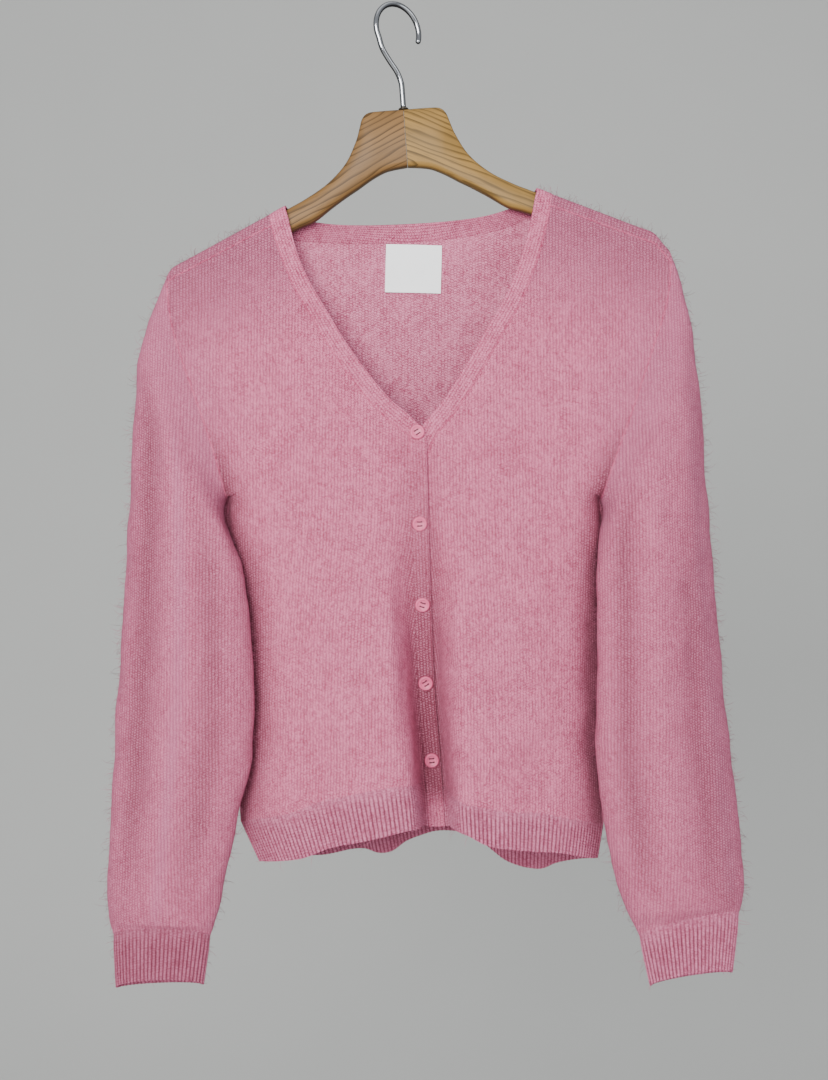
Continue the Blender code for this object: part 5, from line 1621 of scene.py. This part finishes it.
def collar_paint():
    paint = Paint("dark bronzed collar", (0.10, 0.085, 0.07), 0.4, Metallic=1.0)
    rub = paint.noise(paint.place(), 1.5, 3.0)
    paint.set(**{"Base Color": paint.mix(rub.clear(0.5, 0.8), (0.10, 0.085, 0.07), (0.26, 0.22, 0.18)),
                 "Roughness": rub * 0.25 + 0.28})
    return paint.material


def button_paint(settings):
    paint = Paint("satin pink button", settings.button_colour, 0.42,
                  **{"Coat Weight": 0.1, "Coat Roughness": 0.35})
    swirl = paint.noise(paint.place(), 5.0, 3.0)
    deep = dimmed(settings.button_colour, 0.9)
    paint.set(**{"Base Color": paint.mix(swirl.clear(0.35, 0.7), deep, settings.button_colour),
                 "Roughness": swirl * 0.15 + 0.36})
    paint.bump(paint.noise(paint.place(), 0.5, 2.0), 0.05, 0.3)
    return paint.material


def thread_paint(name, colour):
    paint = Paint(name, colour, 0.7, **{"Sheen Weight": 0.2})
    twist = paint.noise(paint.stretched(paint.place(), (1.0, 1.0, 0.4)), 0.35, 1.0)
    paint.set(**{"Base Color": paint.mix(twist, dimmed(colour, 0.6), colour)})
    paint.bump(twist, 0.1, 0.6)
    return paint.material


def label_paint():
    """White woven satin: fine floats across, over close warp threads."""
    paint = Paint("white woven satin", (0.90, 0.92, 0.94), 0.42,
                  **{"Sheen Weight": 0.25, "Sheen Roughness": 0.4})
    place = paint.place()
    across = paint.part(place, "X") / (SATIN_PITCH[0] * MM)
    down = paint.part(place, "Z") / (SATIN_PITCH[1] * MM)
    weave = (across + down.whole_part_off()).wave() * down.wave()
    # Greyer in random patches
    grey_patches = paint.noise(place, 9.0, 3.0)
    colour = paint.mix(abs(weave) * 0.25, (0.98, 0.99, 1.0), (0.76, 0.78, 0.81))
    paint.set(**{"Base Color": paint.mix(grey_patches.clear(0.45, 0.8) * 0.15, colour, (0.78, 0.79, 0.81))})
    paint.bump(abs(weave), 0.12, 0.5)
    return paint.material


def plain_paint(name, colour):
    paint = Paint(name, colour, 0.9)
    grain = paint.noise(paint.place(), 180.0, 3.0)
    paint.set(**{"Base Color": paint.mix(grain, dimmed(colour, 0.965), colour)})
    return paint.material


def tint_setting(name, description, colour):
    return FloatVectorProperty(name=name, description=description, subtype="COLOR", default=colour, min=0.0,
                               max=1.0)


def number_setting(name, description, value, high, low=0.0):
    return FloatProperty(name=name, description=description, default=value, min=low, max=high)


class CardiganKnit(bpy.types.PropertyGroup):
    """Colours and sizes of the knit."""

    knit_dark: tint_setting("Dark yarn", "Darkest pink of the marl", (0.38, 0.064, 0.132))
    knit_light: tint_setting("Light yarn", "Lightest pink of the marl", (0.665, 0.170, 0.298))
    sheen_tint: tint_setting("Bloom", "Tint of the brushed surface", (1.0, 0.55, 0.72))
    # Colour of the painted shade between the stitches
    gap_shade_colour: tint_setting("Gap shade", "Colour between the stitches", (0.17, 0.022, 0.048))
    # Colour of the painted shade in hollows, creases and shaded sides
    painted_shade_colour: tint_setting("Painted shade", "Colour deep in the folds", (0.13, 0.026, 0.042))
    # Colour of the painted sheen on the brushed ridges
    painted_sheen_colour: tint_setting("Painted sheen", "Colour of the hazy ridges", (0.46, 0.132, 0.236))
    # Colour of the pale fibres, also used for the painted highlight on stitch crowns
    pale_fibre_and_highlight: tint_setting("Pale fibres and painted highlight", "Colour of the palest fibres", (0.74, 0.30, 0.43))
    # How strong the painted shade between the stitches is
    gap_shade_share: number_setting("Gap shade strength", "How dark the gaps are", 0.8, 1.0)
    hair_length: number_setting("Hair length", "Length of the short fibres in millimetres", 3.4, 10.0, 0.5)
    long_hair_length: number_setting("Loose hair length", "Length of the loose fibres in millimetres", 9.5,
                                     20.0, 1.0)
    hair_density: number_setting("Hair density", "Short fibres in a square centimetre", 9.5, 40.0)
    long_hair_density: number_setting("Long hair density", "Loose fibres in a square centimetre", 4.2, 20.0)


class CardiganTrim(bpy.types.PropertyGroup):
    """Colours of the buttons, the wood and the backdrop."""

    button_colour: tint_setting("Buttons", "Colour of the buttons", (0.73, 0.125, 0.262))
    golden_wood: tint_setting("Golden wood", "Lighter half of the hanger", (0.235, 0.135, 0.036))
    brown_wood: tint_setting("Brown wood", "Darker half of the hanger", (0.17, 0.09, 0.031))
    backdrop: tint_setting("Backdrop", "Colour of the wall and floor", (0.56, 0.565, 0.55))


# What the operators hand on to each other
MADE = {}


def paints():
    """The knit's materials, mixed once."""
    if "plain" not in MADE:
        knit = bpy.context.scene.cardigan_knit
        for kind in ("plain", "purl", "rib", "band"):
            MADE[kind] = knit_paint("pink knit " + kind, knit, kind)
        MADE["hair"] = hair_paint(knit)
    return MADE


def finish_cloth(name, cloths, inner, flat, wall=CLOTH_WALL, density=1.0,
                 outer="plain"):
    """A cloth piece with its hairs."""
    mixed = paints()
    knit = bpy.context.scene.cardigan_knit
    piece = cloth_shell(name + "_knit", cloths, [mixed[outer], mixed[inner]], wall)
    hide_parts(name)
    for place, cloth in enumerate(cloths):
        square = cloth.area() * 10000.0
        seed = sum(ord(letter) for letter in cloth.name) + place
        for kind, length, thick, per, lean in (
                ("short", knit.hair_length, SHORT_HAIR_RADIUS, knit.hair_density * density, 0.45),
                ("long", knit.long_hair_length, LONG_HAIR_RADIUS, knit.long_hair_density * density, 0.95)):
            count = int(square * per)
            fuzz = hairs("%s_%s_hairs_%d" % (name, kind, place), cloth, count, length, thick, lean,
                         mixed["hair"], seed + len(kind), kind == "long")
    area = sum(cloth.area() for cloth in cloths)
    width, length = flat
    MADE[name] = cloths
    return piece


class CARDIGAN_OT_panels(bpy.types.Operator):
    """Knit the two fronts and the back, which reaches over the shoulders"""

    bl_idname = "cardigan.panels"
    bl_label = "Knit the panels"

    def execute(self, context):
        MADE["nets"] = panel_nets()
        for side in ("right", "left"):
            cloth = front_cloth(side, MADE["nets"])
            cloth.push(soft_relief(cloth))
            finish_cloth("front_" + side, [cloth, gusset_cloth(side)], "purl", FLAT_FRONT)
        cloths = back_cloths(MADE["nets"])
        cloths[0].push(soft_relief(cloths[0]))
        finish_cloth("back", cloths, "purl", FLAT_BACK)
        return {"FINISHED"}


class CARDIGAN_OT_sleeves(bpy.types.Operator):
    """Knit the two sleeves from the armholes to the cuffs"""

    bl_idname = "cardigan.sleeves"
    bl_label = "Knit the sleeves"

    def execute(self, context):
        for side in ("right", "left"):
            cloth = sleeve_cloth(side, MADE["nets"])
            cloth.push(soft_relief(cloth))
            finish_cloth("sleeve_" + side, [cloth], "purl", FLAT_SLEEVE)
        return {"FINISHED"}


class CARDIGAN_OT_ribs(bpy.types.Operator):
    """Knit the ribbed cuffs and hems"""

    bl_idname = "cardigan.ribs"
    bl_label = "Knit the ribs"

    def execute(self, context):
        for side in ("right", "left"):
            finish_cloth("cuff_" + side, [cuff_cloth(side)], "rib", FLAT_CUFF,
                         density=RIB_HAIR_SHARE, outer="rib")
        for cloth in hem_cloths():
            flat = FLAT_BACK_HEM if cloth.name == "hem_back" else FLAT_FRONT_HEM
            finish_cloth(cloth.name, [cloth], "rib", flat, density=RIB_HAIR_SHARE,
                         outer="rib")
        return {"FINISHED"}


class CARDIGAN_OT_bands(bpy.types.Operator):
    """Knit the buttonhole band, the button band and the back neck band"""

    bl_idname = "cardigan.bands"
    bl_label = "Knit the bands"

    def execute(self, context):
        for cloth in band_cloths():
            flat = FLAT_NECK_BAND if cloth.name == "back_neck_band" else FLAT_FRONT_BAND
            finish_cloth(cloth.name, [cloth], "band", flat, wall=BAND_WALL,
                         density=BAND_HAIR_SHARE, outer="band")
        return {"FINISHED"}


class CARDIGAN_OT_seams(bpy.types.Operator):
    """Lay the linked stitches along the shoulders, the armholes and the bands"""

    bl_idname = "cardigan.seams"
    bl_label = "Link the seams"

    def execute(self, context):
        knit = context.scene.cardigan_knit
        arm = ARM_ROWS * SPAN_PARTS + 1
        lines = []
        for side in ("right", "left"):
            cloth = MADE["front_" + side][0]
            arm_column, band_column = (0, -1) if side == "right" else (-1, 0)
            lines.append((cloth.net[0], cloth.normals[0]))
            lines.append((cloth.net[:arm, arm_column], cloth.normals[:arm, arm_column]))
            lines.append((cloth.net[:arm, band_column], cloth.normals[:arm, band_column]))
        back = MADE["back"][0]
        for column in (0, -1):
            lines.append((back.net[:arm, column], back.normals[:arm, column]))
        neck = MADE["back_neck_band"][0]
        lines.append((neck.net[-1], neck.normals[-1]))
        paint = seam_paint(knit)
        seams = seam_cord("linked_seams", lines, paint)
        return {"FINISHED"}


def cut_button(paint):
    """A turned button with a raised rim, a dished face and four thread holes."""
    profile = [(0.0, 0.0), (5.3, 0.0), (5.95, 0.3), (BUTTON_RADIUS, 0.9), (BUTTON_RADIUS, 1.5), (6.05, 2.1),
               (5.6, 2.6), (5.0, BUTTON_THICKNESS), (4.5, 2.55), (4.05, 2.05), (3.6, 1.85),
               (2.0, DISH_HEIGHT), (0.0, DISH_HEIGHT)]
    points, faces = turned(profile, TURN_SIDES)
    body = make_mesh("button_blank", points, faces, [paint])
    points = []
    faces = []
    for across in (-1.0, 1.0):
        for up in (-1.0, 1.0):
            hole = THREAD_HOLE_RADIUS
            pin, sides = turned(((0.0, -2.0), (hole, -2.0), (hole, 5.0), (0.0, 5.0)), 14)
            base = len(points)
            points += [(x + across * THREAD_HOLE_OFFSET, y + up * THREAD_HOLE_OFFSET, z) for x, y, z in pin]
            faces += [tuple(i + base for i in face) for face in sides]
    cutter = make_mesh("button_pins", points, faces, [paint])
    cut = body.modifiers.new("thread holes", "BOOLEAN")
    cut.operation = "DIFFERENCE"
    cut.solver = "EXACT"
    cut.object = cutter
    mesh = bpy.data.meshes.new_from_object(body.evaluated_get(bpy.context.evaluated_depsgraph_get()))
    bpy.data.objects.remove(cutter)
    bpy.data.objects.remove(body)
    mesh.set_sharp_from_angle(angle=BUTTON_EDGE_ANGLE)
    return mesh


def thread_bars(place, turn, spin, paint, name):
    """Two short stitches of thread that hold a button on, each across two holes."""
    points = []
    faces = []
    for up in (-1.0, 1.0):
        base = len(points)
        for i in range(THREAD_STEPS + 1):
            share = i / THREAD_STEPS
            x = (2.0 * share - 1.0) * THREAD_HOLE_OFFSET
            lift = DISH_HEIGHT + 0.05 + 0.5 * math.sin(math.pi * share) ** 0.5
            lift -= 1.0 * (abs(2.0 * share - 1.0) > 0.95)
            for k in range(THREAD_SIDES):
                angle = 2.0 * math.pi * k / THREAD_SIDES
                points.append((x, up * THREAD_HOLE_OFFSET + THREAD_RADII[0] * math.cos(angle),
                               lift + THREAD_RADII[1] * math.sin(angle)))
        faces += tube_faces(THREAD_STEPS + 1, THREAD_SIDES, base)
    twist = [(x * math.cos(spin) - y * math.sin(spin), x * math.sin(spin) + y * math.cos(spin), z)
             for x, y, z in points]
    turned_points = [tuple(turn @ Vector(p) + place) for p in twist]
    return make_mesh(name, turned_points, faces, [paint])


class CARDIGAN_OT_buttons(bpy.types.Operator):
    """Turn the five buttons and sew them on, each where its solid sits"""

    bl_idname = "cardigan.buttons"
    bl_label = "Sew on the buttons"

    def execute(self, context):
        trim = context.scene.cardigan_trim
        paint = button_paint(trim)
        thread = thread_paint("dark rose thread", (0.06, 0.012, 0.02))
        mesh = cut_button(paint)
        for number, spin in enumerate(BUTTON_SPINS, start=1):
            name = "button_%d" % number
            solid = np.array([vertex.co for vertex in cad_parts[name].data.vertices])
            centre = (solid.max(0) + solid.min(0)) / 2.0
            _, _, ways = np.linalg.svd(solid - solid.mean(0))
            normal = Vector(ways[2])
            if normal.y > 0.0:
                normal = -normal
            turn = normal.to_track_quat("Z", "Y")
            seat = Vector(centre) / MM - normal * BUTTON_THICKNESS / 2.0
            placed = mesh.copy()
            rolled = [turn @ Vector((v.co.x / MM * math.cos(spin) - v.co.y / MM * math.sin(spin),
                                     v.co.x / MM * math.sin(spin) + v.co.y / MM * math.cos(spin),
                                     v.co.z / MM)) + seat for v in placed.vertices]
            placed.vertices.foreach_set("co", np.array([tuple(p) for p in rolled]).ravel() * MM)
            piece = bpy.data.objects.new(name + "_turned", placed)
            context.scene.collection.objects.link(piece)
            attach(piece, "root")
            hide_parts(name)
            bars = thread_bars(seat, turn, spin, thread, name + "_thread")
        return {"FINISHED"}


class CARDIGAN_OT_label(bpy.types.Operator):
    """Sew the bare woven label to the inside of the back"""

    bl_idname = "cardigan.label"
    bl_label = "Sew in the label"

    def execute(self, context):
        tree = BVHTree.FromObject(bpy.data.objects["back_knit"], context.evaluated_depsgraph_get())
        across, down = LABEL_NET
        net = np.zeros((down + 1, across + 1, 3))
        for row in range(down + 1):
            for column in range(across + 1):
                a = LABEL_WIDTH * (column / across - 0.5)
                b = LABEL_HEIGHT * (row / down - 0.5)
                x = LABEL_CENTRE + a * math.cos(LABEL_LEAN) - b * math.sin(LABEL_LEAN)
                drop = LABEL_DROP + a * math.sin(LABEL_LEAN) + b * math.cos(LABEL_LEAN)
                hit = tree.ray_cast(Vector((x, INSIDE_START, -drop)) * MM, Vector((0.0, 1.0, 0.0)))[0]
                belly = 0.5 * math.sin(math.pi * column / across) * (0.6 + 0.4 * math.sin(row / 5.0))
                hem = 0.25 if min(row, down - row) < 3 else 0.0
                net[row, column] = (x, hit.y / MM - LABEL_GAP - belly - hem, -drop)
        smooth = (net[:, :, 1].mean(0)[None] + net[:, :, 1].mean(1)[:, None] - net[:, :, 1].mean()) * 0.7
        net[:, :, 1] = np.minimum(net[:, :, 1], smooth + net[:, :, 1] * 0.3)
        cloth = Cloth("neck_label", net)
        paint = label_paint()
        piece = cloth_shell("neck_label_satin", [cloth], [paint], LABEL_THICKNESS * 0.6)
        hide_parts("neck_label")
        return {"FINISHED"}


def wood_net(mirror):
    """The outer face of one wooden half: rounded sections from the middle out to the tip."""
    rows = refine(WOOD.rows[:, None, 1:], 5, 0)[:, 0]
    net = []
    for top_x, top_drop, low_x, low_drop, half in rows:
        net.append(wood_section((0.0, top_x, top_drop, low_x, low_drop, half), mirror))
    return np.array(net)


class CARDIGAN_OT_wood(bpy.types.Operator):
    """Shape and varnish the two halves of the hanger"""

    bl_idname = "cardigan.wood"
    bl_label = "Shape the wood"

    def execute(self, context):
        trim = context.scene.cardigan_trim
        for side, mirror, base in (("right", -1.0, trim.brown_wood), ("left", 1.0, trim.golden_wood)):
            paint = wood_paint("varnished wood " + side, tuple(base), dimmed(base, GRAIN_AND_EDGE_SHADE_DIM))
            net = wood_net(mirror)
            rows, count = net.shape[:2]
            points = net.reshape(-1, 3)
            faces = tube_faces(rows, count)
            if mirror < 0.0:
                faces = [face[::-1] for face in faces]
            piece = make_mesh("hanger_%s_wood" % side, points, faces, [paint])
            piece.data.set_sharp_from_angle(angle=WOOD_EDGE_ANGLE)
            slope = GRAIN_SLOPE * mirror - HANGER_TILT
            grain = piece.data.uv_layers.new(name="grain")
            places = np.array([piece.data.vertices[loop.vertex_index].co for loop in piece.data.loops])
            long_way = places[:, 0] * math.cos(slope) * mirror - places[:, 2] * math.sin(slope) * mirror
            cross_way = places[:, 0] * math.sin(slope) * mirror + places[:, 2] * math.cos(slope) * mirror
            grain.data.foreach_set("uv", np.stack((long_way, cross_way + places[:, 1] * 0.8), 1).ravel())
            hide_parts("hanger_" + side)
        return {"FINISHED"}


class CARDIGAN_OT_hook(bpy.types.Operator):
    """Bend the wire hook and set it on its collar"""

    bl_idname = "cardigan.hook"
    bl_label = "Bend the hook"

    def execute(self, context):
        path = refine(np.array(hook_route())[:, None], 6, 0)[:, 0]
        along = unit(np.gradient(path, axis=0))
        side = np.array((0.0, 1.0, 0.0))
        points = []
        for i, (place, way) in enumerate(zip(path, along)):
            side = side - way * np.dot(side, way)
            side /= np.linalg.norm(side)
            other = np.cross(way, side)
            left = (len(path) - 1 - i) * np.linalg.norm(path[-1] - path[-2]) / WIRE_RADIUS
            radius = WIRE_RADIUS * math.sqrt(max(0.05, 1.0 - max(0.0, 1.0 - left) ** 2))
            for k in range(WIRE_SIDES):
                angle = 2.0 * math.pi * k / WIRE_SIDES
                points.append(place + (side * math.cos(angle) + other * math.sin(angle)) * radius)
        faces = [face[::-1] for face in tube_faces(len(path), WIRE_SIDES)]
        piece = make_mesh("hook_wire", points, faces, [wire_paint()])
        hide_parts("hook")
        rim = COLLAR_RADIUS
        top = COLLAR_HEIGHT
        profile = ((0.0, 0.0), (rim - 0.1, 0.0), (rim, 0.1), (rim, top - COLLAR_BEVEL),
                   (rim - 0.18, top - 0.25), (rim - COLLAR_BEVEL, top), (0.0, top))
        points, faces = turned(profile, TURN_SIDES)
        points = [tilt(x, y, BLOCK_TOP - REST_GAP - z) for x, y, z in points]
        collar = make_mesh("hook_collar_turned", points, faces, [collar_paint()])
        collar.data.set_sharp_from_angle(angle=COLLAR_EDGE_ANGLE)
        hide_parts("hook_collar")
        return {"FINISHED"}


def add_light(name, place, aim, size, watts, colour=(1.0, 1.0, 1.0)):
    light = bpy.data.lights.new(name, "AREA")
    light.shape = "RECTANGLE"
    light.size, light.size_y = size
    light.energy = watts
    light.color = colour
    lamp = bpy.data.objects.new(name, light)
    lamp.location = place
    lamp.rotation_euler = (Vector(aim) - Vector(place)).to_track_quat("-Z", "Y").to_euler()
    bpy.context.scene.collection.objects.link(lamp)


class CARDIGAN_OT_stage(bpy.types.Operator):
    """Set up the pale backdrop, the soft light and the camera"""

    bl_idname = "cardigan.stage"
    bl_label = "Set the stage"

    def execute(self, context):
        trim = context.scene.cardigan_trim
        bend = STAGE_BEND
        profile = [(STAGE_FRONT, FLOOR_Z), (WALL_Y - bend, FLOOR_Z)]
        for i in range(1, STAGE_STEPS + 1):
            angle = math.pi / 2.0 * i / STAGE_STEPS
            profile.append((WALL_Y - bend + bend * math.sin(angle), FLOOR_Z + bend - bend * math.cos(angle)))
        profile.append((WALL_Y, STAGE_TOP))
        points = [(x / MM, y / MM, z / MM) for y, z in profile for x in (-STAGE_HALF, STAGE_HALF)]
        faces = [(2 * i, 2 * i + 1, 2 * i + 3, 2 * i + 2) for i in range(len(profile) - 1)]
        wall = make_mesh("backdrop", points, faces, [plain_paint("pale plaster", tuple(trim.backdrop))])
        world = bpy.data.worlds.new("soft room")
        world.use_nodes = True
        world.node_tree.nodes["Background"].inputs["Color"].default_value = (0.93, 0.96, 1.0, 1.0)
        world.node_tree.nodes["Background"].inputs["Strength"].default_value = ROOM_LIGHT
        context.scene.world = world
        add_light("window", (-0.7, -2.7, 0.1), (0.0, 0.0, -0.5), (1.9, 1.7), WINDOW_WATTS, (1.0, 0.99, 0.97))
        add_light("ceiling", (0.3, -0.6, 2.0), (0.0, 0.0, -0.4), (2.6, 1.8), CEILING_WATTS)
        add_light("fill", (2.2, -1.9, -0.3), (0.0, 0.0, -0.45), (1.6, 2.0), FILL_WATTS, (0.96, 0.98, 1.0))
        camera = bpy.data.cameras.new("camera")
        camera.lens = CAMERA_LENS
        eye = bpy.data.objects.new("camera", camera)
        eye.location = Vector(CAMERA_PLACE) * MM
        eye.rotation_euler = (math.pi / 2.0, 0.0, 0.0)
        context.scene.collection.objects.link(eye)
        context.scene.camera = eye
        return {"FINISHED"}


STEPS = (CARDIGAN_OT_stage, CARDIGAN_OT_wood, CARDIGAN_OT_hook, CARDIGAN_OT_panels, CARDIGAN_OT_sleeves,
         CARDIGAN_OT_ribs, CARDIGAN_OT_bands, CARDIGAN_OT_seams, CARDIGAN_OT_buttons, CARDIGAN_OT_label)


class CARDIGAN_PT_panel(bpy.types.Panel):
    """The cardigan's settings and steps"""

    bl_idname = "CARDIGAN_PT_panel"
    bl_label = "Cardigan"
    bl_space_type = "VIEW_3D"
    bl_region_type = "UI"
    bl_category = "Cardigan"

    def draw(self, context):
        for group in (context.scene.cardigan_knit, context.scene.cardigan_trim):
            box = self.layout.box()
            for name in group.__annotations__:
                box.prop(group, name)
        for step in STEPS:
            self.layout.operator(step.bl_idname)


CLASSES = (CardiganKnit, CardiganTrim, *STEPS, CARDIGAN_PT_panel)


def register():
    for kind in CLASSES:
        bpy.utils.register_class(kind)
    bpy.types.Scene.cardigan_knit = PointerProperty(type=CardiganKnit)
    bpy.types.Scene.cardigan_trim = PointerProperty(type=CardiganTrim)


def unregister():
    del bpy.types.Scene.cardigan_trim
    del bpy.types.Scene.cardigan_knit
    for kind in reversed(CLASSES):
        bpy.utils.unregister_class(kind)


def main():
    register()
    for step in STEPS:
        group, name = step.bl_idname.split(".")
        getattr(getattr(bpy.ops, group), name)()
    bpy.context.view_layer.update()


if __name__ == "__main__":
    main()
